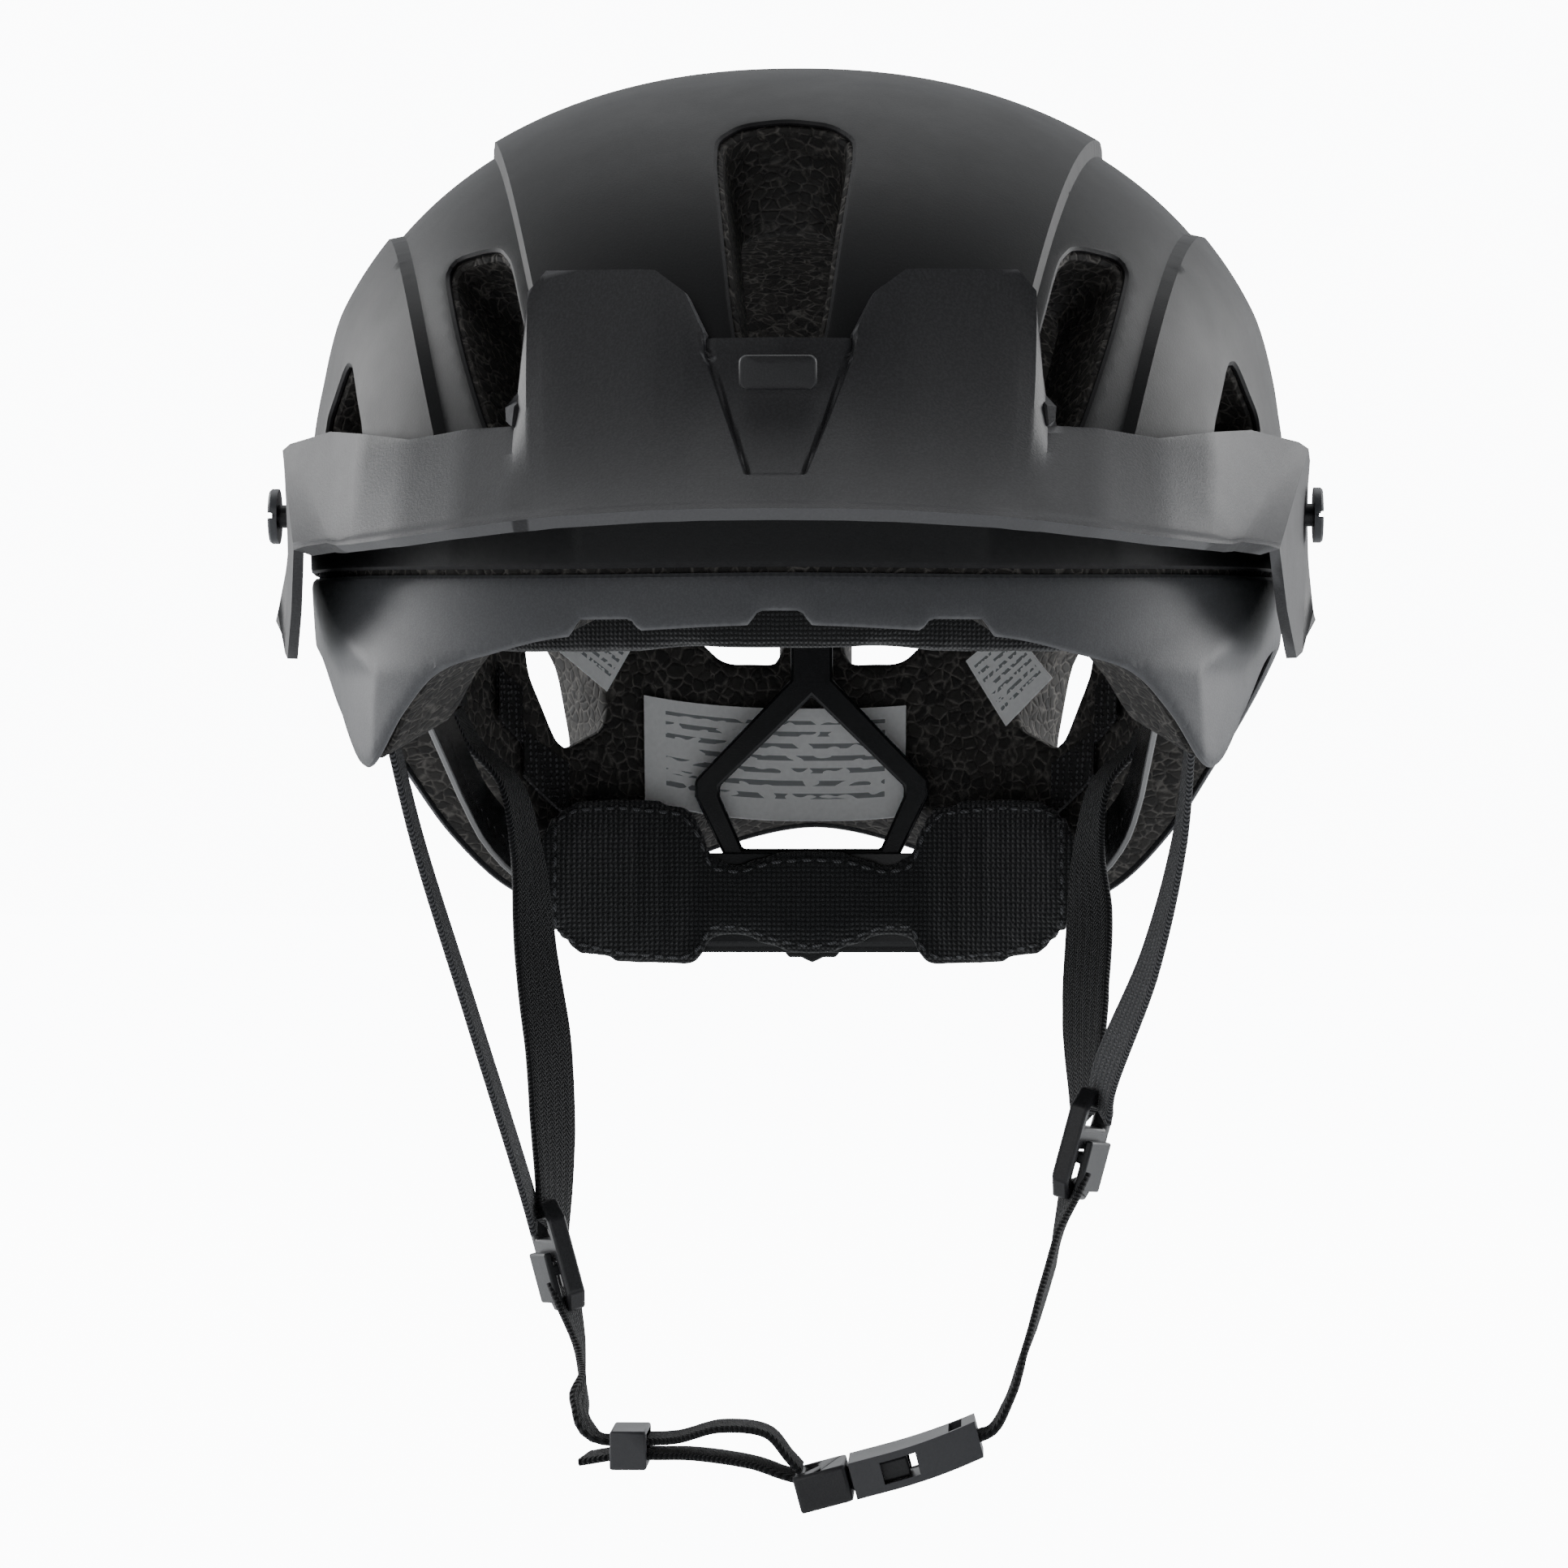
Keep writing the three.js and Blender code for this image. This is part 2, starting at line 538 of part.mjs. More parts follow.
function visorFace(side) {
  return visorColumns().map(([top, front, kneeShare]) => {
    const knee = top.clone().lerp(front, 0.5);
    if (kneeShare > 0) {
      knee.copy(formPoint(SHELL, top.x, 80 + 4 * kneeShare / 3, VISOR_STANDOFF + 1));
      knee.z = lerp(knee.z, front.z + 8, 0.4);
    }
    const curve = new THREE.QuadraticBezierCurve3(top, knee, front);
    return curve.getPoints(6).map((p) => vec(side * p.x, p.y, p.z));
  });
}

function buildVisor() {
  const right = visorFace(1);
  const left = visorFace(-1).slice(1).reverse();
  const columns = [...left, ...right];
  const rows = columns[0].map((_, i) => columns.map((column) => column[i]));
  let visor = sheet(rows, VISOR_WALL);
  const shank = (side) => bar(SCREW_RADIUS, vec(side * (INSERT_FACE - 4), VISOR_PIVOT.y, VISOR_PIVOT.z),
    vec(side * (VISOR_HALF_SPAN + 1), VISOR_PIVOT.y, VISOR_PIVOT.z));
  for (const side of [-1, 1]) {
    visor = visor.subtract(bar(SCREW_RADIUS + GAP,
      vec(side * (VISOR_HALF_SPAN - 3 * VISOR_WALL), VISOR_PIVOT.y, VISOR_PIVOT.z),
      vec(side * (VISOR_HALF_SPAN + 3 * VISOR_WALL), VISOR_PIVOT.y, VISOR_PIVOT.z)));
  }
  addPart('visor', visor, DARK_GREY);
  for (const [label, side] of [['left', -1], ['right', 1]]) {
    const head = bar(SCREW_HEAD_RADIUS, vec(side * (VISOR_HALF_SPAN + GAP), VISOR_PIVOT.y, VISOR_PIVOT.z),
      vec(side * (VISOR_HALF_SPAN + 2.3), VISOR_PIVOT.y, VISOR_PIVOT.z));
    addPart(`${label}_visor_screw`, head.add(shank(side)), STEEL);
  }
  const badgeY = formPoint(SHELL, 0, 81.5, VISOR_STANDOFF).y;
  const badge = plate([[-7.7, -3.4], [7.7, -3.4], [7.7, 3.4], [-7.7, 3.4]], -0.6, 0.6);
  const tilted = badge.rotate([8, 0, 0]).translate([0, badgeY - 3.6, 81]);
  addPart('visor_badge', tilted, DARK_GREY);
}

// ---- fit cradle at the back of the head ----
function cradleY(x) {
  return CRADLE_FACE - 26 * LENGTHEN * (Math.max(0, Math.abs(x / WIDEN) - 26) / 36) ** 1.5;
}

// A curved plate behind the head: an outline given as columns of low and high edges.
function cradlePlate(columns, front, thickness) {
  const rows = [0, 1, 2, 3].map((k) => columns.map(([x, low, high]) => (
    vec(x * WIDEN, cradleY(x * WIDEN) + front, lerp(high, low, k / 3)))));
  const back = rows.map((row) => row.map((p) => vec(p.x, p.y + thickness, p.z)));
  return between(rows, back);
}

function mirrorColumns(half) {
  return [...half.slice().reverse().map(([x, low, high]) => [-x, low, high]), ...half];
}

function buildCradle() {
  const padHalf = [[2, -41, -15.5], [9, -39.5, -16], [17, -36.5, -18.5], [24, -36.5, -17.5], [27, -42.5, -9],
    [31, -44, -4.5], [45, -42.5, -3], [55, -40, -3.5], [60, -36, -6.5], [62, -31, -12]];
  addPart('cradle_pad', cradlePlate(mirrorColumns(padHalf), -4.2, 4), KNIT);
  const frameHalf = [[8, -38, -16.5], [25, -38, -16.5], [33, -39, -9], [45, -38, -7], [57, -35, -10]];
  let frame = cradlePlate(mirrorColumns(frameHalf), GAP, 2);
  const front = CRADLE_FACE + GAP;
  const [trayLow, trayHigh] = [DIAL_CENTRE_Z - TRAY_HALF_HEIGHT, DIAL_CENTRE_Z + TRAY_HALF_HEIGHT];
  const tray = box(-TRAY_HALF_WIDTH, TRAY_HALF_WIDTH, front + 0.5, front + CRADLE_DEPTH - 2, trayLow, trayHigh);
  const well = box(-41, 41, front + 2, front + CRADLE_DEPTH, DIAL_CENTRE_Z - 8.9, DIAL_CENTRE_Z + 8.9);
  frame = frame.add(tray).subtract(well);
  addPart('cradle_frame', frame, GLOSS_BLACK);
  const coverBack = front + CRADLE_DEPTH - 2 + GAP;
  const coverFace = coverBack + COVER_THICKNESS;
  const cover = box(-TRAY_HALF_WIDTH, TRAY_HALF_WIDTH, coverBack, coverFace, trayLow, trayHigh);
  const shaftHole = bar(SCREW_RADIUS + GAP, vec(0, 95, DIAL_CENTRE_Z), vec(0, 130, DIAL_CENTRE_Z));
  addPart('dial_cover', cover.subtract(shaftHole), GLOSS_BLACK);
  const rackY = front + 2.6;
  const onAxis = (y) => vec(0, y, DIAL_CENTRE_Z);
  const pinion = bar(PINION_RADIUS, onAxis(rackY), onAxis(rackY + RACK_DEPTH + 2 * GAP), 14);
  const shaft = bar(SCREW_RADIUS, onAxis(rackY), onAxis(coverFace + GAP));
  addPart('dial_pinion', pinion.add(shaft), GLOSS_BLACK);
  buildDial(coverFace + 2 * GAP);
  for (const [label, side] of [['left', -1], ['right', 1]]) {
    const low = DIAL_CENTRE_Z + side * (PINION_RADIUS + 0.4 + RACK_HEIGHT / 2) - RACK_HEIGHT / 2;
    const [x0, x1] = [side * -5, side * (RACK_LENGTH - 5)];
    const rack = box(Math.min(x0, x1), Math.max(x0, x1), rackY, rackY + RACK_DEPTH, low, low + RACK_HEIGHT);
    addPart(`${label}_rack`, rack, GLOSS_BLACK);
    buildBelt(label, side, rackY);
  }
}

function buildDial(face) {
  const ribs = 14;
  const knobShape = new THREE.Shape();
  for (let i = 0; i <= ribs * 2; i += 1) {
    const angle = (Math.PI * i) / ribs;
    const radius = DIAL_RADIUS - (i % 2 ? 0 : 1);
    const [x, y] = [radius * Math.cos(angle), radius * Math.sin(angle)];
    i === 0 ? knobShape.moveTo(x, y) : knobShape.lineTo(x, y);
  }
  const geometry = new THREE.ExtrudeGeometry(knobShape, { depth: DIAL_DEPTH, bevelEnabled: false });
  geometry.rotateX(Math.PI / 2).translate(0, face + DIAL_DEPTH, DIAL_CENTRE_Z);
  addPart('dial_knob', solidOf(geometry), GLOSS_BLACK);
}

function buildBelt(label, side, rackY) {
  const route = [[77, -70, 21.5], [77, -50, 17.5], [76.5, -20, 10], [75.5, 15, 1], [73, 42, -8], [67.3, 63.5, -16],
    [57.5, 80.5, -23.5]].map(fitted).map(([x, y, z]) => [side * x, y, z]);
  const belt = ribbon(route, [[0, 0.2, 1], [0, 0.25, 1], [0, 0.2, 1]], BELT_HEIGHT, BELT_WALL, 16);
  const hole = bar(BELT_PIN_RADIUS + GAP, vec(side * (BELT_PIVOT.x - BELT_HEIGHT), BELT_PIVOT.y, BELT_PIVOT.z),
    vec(side * (BELT_PIVOT.x + BELT_HEIGHT), BELT_PIVOT.y, BELT_PIVOT.z), 16);
  addPart(`${label}_fit_belt`, belt.subtract(hole), GLOSS_BLACK);
}

function buildHanger() {
  const y0 = HANGER_FACE;
  const y1 = HANGER_FACE + HANGER_THICKNESS;
  const outer = [[-STEM_HALF_WIDTH, 50], [-STEM_HALF_WIDTH, 25], [-28, 1], [-28, -3], [-20, -19.4], [20, -19.4],
    [28, -3], [28, 1], [STEM_HALF_WIDTH, 25], [STEM_HALF_WIDTH, 50]];
  const inner = [[0, 21], [-22, -0.5], [-22, -3], [-16.5, -15.5], [16.5, -15.5], [22, -3], [22, -0.5]];
  const hanger = plate(outer, y0, y1).subtract(plate(inner, y0 - 1, y1 + 1));
  addPart('hanger', hanger, GLOSS_BLACK);
}

// ---- harness ----
const DIVIDER_WIDTH = WEBBING_WIDTH + 7;
const DIVIDER_HEIGHT = 25;
const DIVIDER_WALL = 4;
const LEFT_DIVIDER = placed(-54.5, 4, -105);
const RIGHT_DIVIDER = placed(63, 4, -80);
const DIVIDER_YAW = 72; // degrees from facing forwards
const DIVIDER_LEAN = 15;
const KEEPER_CENTRE = placed(-36, -26, -144);
const BUCKLE_ORIGIN = placed(12.2, -30, -150); // the meeting face of the two halves
const BUCKLE_TILT = 15; // degrees up towards the wearer's left

// A place at fixed distances from another piece, for the webbing's ends.
function beside(place, side, dx, dy, dz) {
  return vec(side * (place.x + dx), place.y + dy, place.z + dz);
}

function webbing(name, route, facings, count) {
  const points = route.map((p) => (p.isVector3 ? p.toArray() : fitted(p)));
  addPart(name, ribbon(points, facings, WEBBING_WIDTH, WEBBING_THICKNESS, count), WEBBING);
}

function buildStraps() {
  webbing('left_front_strap', [[-84.4, -63, 10.5], [-80, -51, -12], [-71, -29, -48], [-60.5, -3, -90]],
    [[0, 1, 0], [0, 1, 0.2]], 16);
  webbing('left_rear_strap', [beside(REAR_ANCHOR, -1, 0, 0, -1.4), beside(REAR_ANCHOR, -1, -3.7, 1, -8.5),
    [-68, 44, 0], [-64, 44, -16], [-61.5, 38, -38],
    [-57.5, 25, -62], [-55.5, 11, -90]], [[0.1, 1, 0], [0.3, 0.95, 0], [0.5, 0.86, 0], [0.6, 0.8, 0]], 18);
  webbing('right_front_strap', [[84.4, -63, 10.5], [82.5, -48, -12], [77, -29, -38], [67.5, -3, -65.5]],
    [[0, 1, 0], [-0.3, 1, 0.2]], 16);
  webbing('right_rear_strap', [beside(REAR_ANCHOR, 1, 0, 0, -1.4), beside(REAR_ANCHOR, 1, -3.7, 1, -8.5),
    [68, 44, 0], [65, 44, -16], [65, 36, -32],
    [64, 23, -48], [64, 11, -65]], [[-0.1, 1, 0], [-0.3, 0.95, 0], [-0.6, 0.8, 0], [-0.6, 0.8, 0]], 16);
  webbing('left_chin_strap', [[-50, -1, -121.5], [-47.5, -9, -132], [-46, -21, -138.5], [-42.5, -26, -142],
    [-34, -26, -142.3], [-26, -26, -142], [-16, -27.5, -139.4], beside(BUCKLE_ORIGIN, 1, -18.2, 1, 9.5),
    beside(BUCKLE_ORIGIN, 1, -13.4, 0, 4.4)],
    [[-0.2, 1, 0], [0, 1, 0], [0, 1, 0], [0, 1, 0], [0, 1, 0]], 24);
  webbing('chin_strap_tail', [beside(BUCKLE_ORIGIN, 1, -14.6, 0, 0.8),
    [-9, -28.5, -147.2], [-22, -26, -145.6], [-30, -26, -145.5], [-38, -26, -145.5],
    [-46, -25, -146.8]], [[0, 1, 0], [0, 1, 0]], 14);
  webbing('right_chin_strap', [[58.6, -1, -96.5], [54, -12, -111], beside(BUCKLE_ORIGIN, 1, 37.2, 8, 25.6)],
    [[0.2, 1, 0], [0.1, 1, 0]], 10);
  webbing('buckle_strap_loop', [beside(BUCKLE_ORIGIN, 1, 36.6, 6.4, 23.8), beside(BUCKLE_ORIGIN, 1, 34.3, 3, 17),
    beside(BUCKLE_ORIGIN, 1, 30.4, 0.4, 10.4)],
    [[0.1, 1, 0], [0, 1, 0]], 6);
}

function buildDivider(label, place, side) {
  const group = new THREE.Group();
  group.position.copy(place);
  const lean = THREE.MathUtils.degToRad(DIVIDER_LEAN) * side;
  group.rotation.set(0, lean, THREE.MathUtils.degToRad(DIVIDER_YAW) * side, 'YXZ');
  helmet.add(group);
  const [w, h, c] = [DIVIDER_WIDTH / 2, DIVIDER_HEIGHT / 2, 4];
  const outline = [[-w, -h + c], [-w + c, -h], [w - c, -h], [w, -h + c], [w, h - c], [w - c, h], [-w + c, h],
    [-w, h - c]];
  let frame = plate(outline, -DIVIDER_WALL / 2, DIVIDER_WALL / 2);
  for (const [low, high] of [[4, 8.5], [-9, -1]]) {
    frame = frame.subtract(box(-w + 3, w - 3, -DIVIDER_WALL, DIVIDER_WALL, low, high));
  }
  addPart(`${label}_divider_frame`, frame, GLOSS_BLACK, group);
  const lever = box(-w + 3.5, w - 3.5, -DIVIDER_WALL / 2 - 2.3, -DIVIDER_WALL / 2 - 0.5, -10, 1.4);
  const bite = box(-w + 3.5, w - 3.5, -DIVIDER_WALL / 2 - 1, 0.5, -4, -1.6);
  addPart(`${label}_divider_lever`, lever.add(bite), GLOSS_BLACK, group);
}

function buildKeeper() {
  const { x, y, z } = KEEPER_CENTRE;
  const half = KEEPER_LENGTH / 2;
  const open = WEBBING_WIDTH / 2 + KEEPER_SLACK;
  const deep = 1.5 * WEBBING_THICKNESS + 2 * GAP;
  const ring = box(x - half, x + half, y - open - KEEPER_WALL, y + open + KEEPER_WALL,
    z - deep - KEEPER_WALL, z + deep + KEEPER_WALL);
  const passage = box(x - half - 1, x + half + 1, y - open, y + open, z - deep, z + deep);
  addPart('strap_keeper', ring.subtract(passage), GLOSS_BLACK);
}

function buildBuckle() {
  const group = new THREE.Group();
  group.position.copy(BUCKLE_ORIGIN);
  group.rotation.y = -THREE.MathUtils.degToRad(BUCKLE_TILT);
  helmet.add(group);
  const [w, t] = [BUCKLE_WIDTH / 2, BUCKLE_THICKNESS / 2];
  const base = box(-12, -0.4, -w, w, -t, t).subtract(box(-9.5, -6.5, -w + 1.6, w - 1.6, -9, 9));
  const tongue = box(-1, PRONG_LENGTH - 2, -2, 2, -t + 1.8, t - 1.8);
  addPart('buckle_male_half', base.add(tongue), GLOSS_BLACK, group);
  for (const [label, side] of [['front', -1], ['back', 1]]) {
    const [y0, y1] = side < 0 ? [-w + 2.6, -w + 4.8] : [w - 4.8, w - 2.6];
    addPart(`${label}_buckle_prong`, box(-0.1, PRONG_LENGTH, y0, y1, -t + 1.8, t - 1.8), GLOSS_BLACK, group);
  }
  const channel = box(-1, PRONG_LENGTH + 3, -w + BUCKLE_WALL, w - BUCKLE_WALL, -t + 1.4, t - 1.4);
  const windows = box(PRONG_LENGTH - 6, PRONG_LENGTH + 2, -w - 1, w + 1, -t + 1.6, t - 1.6);
  const strapSlot = box(23, 26, -w + 1.6, w - 1.6, -9, 9);
  const half = box(0.4, 29, -w, w, -t, t).subtract(channel).subtract(windows).subtract(strapSlot);
  addPart('buckle_female_half', half, GLOSS_BLACK, group);
}

buildShells();
buildFoam();
buildShellHardware();
buildHangerTrack();
buildPads();
buildLinings();
buildVisor();
buildCradle();
buildHanger();
buildStraps();
buildDivider('left', LEFT_DIVIDER, -1);
buildDivider('right', RIGHT_DIVIDER, 1);
buildKeeper();
buildBuckle();

export default helmet;
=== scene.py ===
import math
import bpy
import bmesh
import numpy as np
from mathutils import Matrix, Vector
from mathutils.bvhtree import BVHTree
from mathutils.geometry import delaunay_2d_cdt


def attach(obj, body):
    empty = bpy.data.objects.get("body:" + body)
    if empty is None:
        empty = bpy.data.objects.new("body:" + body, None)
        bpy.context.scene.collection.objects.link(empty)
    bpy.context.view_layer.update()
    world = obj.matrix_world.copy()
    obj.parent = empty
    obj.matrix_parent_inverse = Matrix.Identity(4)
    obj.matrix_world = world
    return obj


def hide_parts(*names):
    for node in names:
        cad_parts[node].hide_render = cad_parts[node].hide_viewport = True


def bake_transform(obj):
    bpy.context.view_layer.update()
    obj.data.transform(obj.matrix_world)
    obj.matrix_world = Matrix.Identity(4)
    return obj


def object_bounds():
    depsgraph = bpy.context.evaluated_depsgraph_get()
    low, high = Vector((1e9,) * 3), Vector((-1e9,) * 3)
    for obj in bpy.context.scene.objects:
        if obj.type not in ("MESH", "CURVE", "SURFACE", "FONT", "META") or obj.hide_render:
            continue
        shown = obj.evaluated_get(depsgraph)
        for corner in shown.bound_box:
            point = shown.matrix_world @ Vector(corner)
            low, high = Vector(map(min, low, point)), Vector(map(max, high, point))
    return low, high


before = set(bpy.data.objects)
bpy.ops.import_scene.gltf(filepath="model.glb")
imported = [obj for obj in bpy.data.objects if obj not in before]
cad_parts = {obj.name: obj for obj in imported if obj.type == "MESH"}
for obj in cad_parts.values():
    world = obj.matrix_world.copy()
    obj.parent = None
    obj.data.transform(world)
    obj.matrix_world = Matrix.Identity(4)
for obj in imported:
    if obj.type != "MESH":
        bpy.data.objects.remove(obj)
cad_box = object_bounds()
MM = 0.001  # every size below is in millimetres, and goes into the meshes as metres

# ---------------------------------------------------------------------------------------------
# Camera, floor and studio light. A long lens looks level at the front of the helmet, a little
# from its left; large soft lights stand behind and above it, so the front stays dark.
# ---------------------------------------------------------------------------------------------
CAMERA_DISTANCE = 1250
CAMERA_TURN = math.radians(1.7)
camera_data = bpy.data.cameras.new("studio_camera")
camera_data.lens = 129.3
camera_data.sensor_width = 36.0
camera_data.shift_x = -0.0098
camera = bpy.data.objects.new("studio_camera", camera_data)
camera.location = (CAMERA_DISTANCE * MM * math.sin(CAMERA_TURN),
                   -CAMERA_DISTANCE * MM * math.cos(CAMERA_TURN), 0.0)
camera.rotation_euler = (math.pi / 2, 0.0, CAMERA_TURN)
bpy.context.scene.collection.objects.link(camera)
bpy.context.scene.camera = camera


def soft_light(name, place, size, power, tint=(1.0, 1.0, 1.0)):
    """A square area light that faces the helmet."""
    data = bpy.data.lights.new(name, "AREA")
    data.shape = "SQUARE"
    data.size = size
    data.energy = power
    data.color = tint
    light = bpy.data.objects.new(name, data)
    light.location = place
    light.rotation_euler = (Vector((0, 0, 0.04)) - Vector(place)).to_track_quat("-Z", "Y").to_euler()
    bpy.context.scene.collection.objects.link(light)


soft_light("top_softbox", (0.0, 0.45, 1.3), 1.0, 2.2)
soft_light("left_back_softbox", (-1.2, 0.55, 0.35), 0.9, 14.0)
soft_light("right_back_softbox", (1.2, 0.55, 0.35), 0.9, 14.0)
soft_light("front_fill", (-0.7, -1.5, 0.5), 1.0, 3.2)

world = bpy.data.worlds.new("studio_world")
bpy.context.scene.world = world
world.use_nodes = True
tree = world.node_tree
tree.nodes.clear()
sky = tree.nodes.new("ShaderNodeTexCoord")
split = tree.nodes.new("ShaderNodeSeparateXYZ")
tree.links.new(sky.outputs["Generated"], split.inputs[0])
fade = tree.nodes.new("ShaderNodeMapRange")  # dark behind the camera, bright behind the helmet
fade.inputs["From Min"].default_value = -0.75
fade.inputs["From Max"].default_value = 0.35
fade.inputs["To Min"].default_value = 0.035
fade.inputs["To Max"].default_value = 0.8
tree.links.new(split.outputs["Y"], fade.inputs["Value"])
glow = tree.nodes.new("ShaderNodeBackground")
glow.inputs["Color"].default_value = (0.95, 0.975, 1.0, 1.0)
tree.links.new(fade.outputs[0], glow.inputs["Strength"])
white = tree.nodes.new("ShaderNodeBackground")
white.inputs["Color"].default_value = (0.945, 0.96, 0.975, 1.0)
white.inputs["Strength"].default_value = 12.0
seen = tree.nodes.new("ShaderNodeLightPath")
choose = tree.nodes.new("ShaderNodeMixShader")
tree.links.new(seen.outputs["Is Camera Ray"], choose.inputs[0])
tree.links.new(glow.outputs[0], choose.inputs[1])
tree.links.new(white.outputs[0], choose.inputs[2])
world_out = tree.nodes.new("ShaderNodeOutputWorld")
tree.links.new(choose.outputs[0], world_out.inputs[0])

floor_mesh = bpy.data.meshes.new("floor")
FLOOR_LEVEL = cad_box[0][2] - 0.012
FLOOR_HALF = 6
floor_corners = [(-FLOOR_HALF, -FLOOR_HALF, FLOOR_LEVEL), (FLOOR_HALF, -FLOOR_HALF, FLOOR_LEVEL),
                 (FLOOR_HALF, FLOOR_HALF, FLOOR_LEVEL), (-FLOOR_HALF, FLOOR_HALF, FLOOR_LEVEL)]
floor_mesh.from_pydata(floor_corners, [], [(0, 1, 2, 3)])
floor = bpy.data.objects.new("floor", floor_mesh)
bpy.context.scene.collection.objects.link(floor)
floor_paint = bpy.data.materials.new("pale_floor")
floor_paint.use_nodes = True
floor_shader = floor_paint.node_tree.nodes["Principled BSDF"]
floor_shader.inputs["Base Color"].default_value = (0.55, 0.56, 0.57, 1)
floor_shader.inputs["Roughness"].default_value = 0.9
floor_shader.inputs["Emission Color"].default_value = (0.945, 0.96, 0.975, 1)
shown = floor_paint.node_tree.nodes.new("ShaderNodeLightPath")
glare = floor_paint.node_tree.nodes.new("ShaderNodeMapRange")
glare.inputs["To Min"].default_value = 0.18
glare.inputs["To Max"].default_value = 12.0
floor_paint.node_tree.links.new(shown.outputs["Is Camera Ray"], glare.inputs["Value"])
floor_paint.node_tree.links.new(glare.outputs[0], floor_shader.inputs["Emission Strength"])
floor_mesh.materials.append(floor_paint)

# ---------------------------------------------------------------------------------------------
# Upper shell. A thin polycarbonate skin with a raised centre band and two ridges on each side,
# moulded onto the foam; its edges roll in round every vent. Matte black with a fine grain.
# ---------------------------------------------------------------------------------------------
CENTRE = np.array([0.0, 3.0, 60.0])
SHELL = dict(width=107.5, length=137.0, rise=94.0, fullness=2.2, tuck=0.0013)
CAVITY = dict(width=85.0, length=106.0, rise=65.0, fullness=2.4, tuck=0.0005)
DEPTH_BELOW = 400.0
SHELL_WALL = 1.4
BAND_STEP = 3.0
RIDGE_HEIGHT = 2.0
RIDGES = [(65.0, 20.0), (89.0, 17.0), (98.7, 13.0)]
GRID_STEP = 0.019  # spacing of the surface's points, in radians seen from the dome's centre

RIM = [(0, -137, 30.5), (45, -126, 28.5), (60, -116, 25.5), (72, -104, 22), (80, -94, 14), (87, -80, 3.5),
       (91, -74, 3), (97, -60, 13), (103, -44, 25), (106, -15, 29), (105, 15, 26), (101, 40, 17), (95, 62, 3),
       (86, 80, -14), (74, 98, -29), (60, 112, -33), (42, 124, -28), (26, 130, -18), (0, 134, -12)]
SEAM = [(0, -137, 42), (60, -116, 42.5), (92, -80, 43.5), (106, -20, 45), (104, 40, 44), (80, 90, 38),
        (45, 125, 33), (0, 136, 31)]
CENTRE_VENT = [(-14.4, 54.3), (-9, 51), (0, 50), (9, 51), (14.4, 54.3), (8, 82), (-8, 82)]
PAIRED_VENTS = [[(57, 63.5), (71, 61.4), (66, 75), (59, 86), (51, 85.5), (49, 81)],
                [(91, 67), (99.5, 74), (97, 84), (86, 84)],
                [(8, -107), (27, -107), (38, -103), (40, -92), (8, -92)],
                [(60, -117), (74, -123), (84, -113), (80, -99), (64, -104)],
                [(24, -48), (40, -52), (44, -74), (30, -80)]]
VENTS = [CENTRE_VENT] + PAIRED_VENTS + [[(-x, turn) for x, turn in vent] for vent in PAIRED_VENTS]


def ease(low, high, value):
    """A smooth step from 0 at low to 1 at high."""
    share = np.clip((value - low) / (high - low), 0.0, 1.0)
    return share * share * (3.0 - 2.0 * share)


def ridge_x(ridge, turn):
    """A ridge's distance from the middle: its top value less a fall that grows with the turn squared."""
    top, fall = ridge
    return top - fall * (np.minimum(np.abs(turn), 90.0) / 80.0) ** 2


def relief(x, turn):
    """Height above the plain dome: the band's step, a valley, then the raised strip between two ridges."""
    band, inner, outer = (ridge_x(ridge, turn) for ridge in RIDGES)
    across = np.abs(x)
    centre = BAND_STEP * (1.0 - ease(band, band + 2.2, across))
    side = RIDGE_HEIGHT * ease(inner - 1.6, inner, across) * (1.0 - ease(outer, outer + 9.0, across) * 0.8
                                                            - 0.2 * ease(outer + 6, 107.5, across))
    return (centre + side) * (1.0 - ease(84.0, 100.0, np.abs(turn)))


def dome_radius(direction, form):
    """Distance from the dome's centre: a superellipsoid, drawn in below the centre by tuck times z squared."""
    x, y, z = direction.T
    n = form["fullness"]
    height = np.where(z > 0, form["rise"], DEPTH_BELOW)
    total = np.abs(x / form["width"]) ** n + np.abs(y / form["length"]) ** n + np.abs(z / height) ** n
    return 1.0 / (total ** (1.0 / n) + form["tuck"] * np.where(z < 0, z * z, 0.0))


def dome_points(direction, form, offset=0.0, with_relief=False):
    """Points of the dome along unit directions, moved out by the offset and the relief."""
    radius = dome_radius(direction, form)
    if with_relief:
        turn = np.degrees(np.arctan2(-direction[:, 1], direction[:, 2]))
        radius = radius + relief(direction[:, 0] * radius, turn)
    return CENTRE + direction * (radius + offset)[:, None]


def to_map(direction):
    """The flat map of directions: the angle from straight up, laid out along the compass direction."""
    angle = np.arccos(np.clip(direction[:, 2], -1.0, 1.0))
    level = np.maximum(np.hypot(direction[:, 0], direction[:, 1]), 1e-9)
    return direction[:, :2] / level[:, None] * angle[:, None]


def from_map(flat):
    """The unit directions of points on the flat map."""
    angle = np.maximum(np.hypot(flat[:, 0], flat[:, 1]), 1e-9)
    level = np.sin(angle) / angle
    return np.column_stack([flat[:, 0] * level, flat[:, 1] * level, np.cos(angle)])


def unit(vectors):
    return vectors / np.linalg.norm(vectors, axis=-1, keepdims=True)


def resample(loop, step, closed=True):
    """Points at even spacing along a polyline on the map."""
    points = np.vstack([loop, loop[:1]]) if closed else loop
    lengths = np.r_[0.0, np.cumsum(np.linalg.norm(np.diff(points, axis=0), axis=1))]
    count = max(4, int(round(lengths[-1] / step)))
    where = np.linspace(0.0, lengths[-1], count + 1)
    where = where[:-1] if closed else where
    return np.column_stack([np.interp(where, lengths, points[:, k]) for k in range(2)])


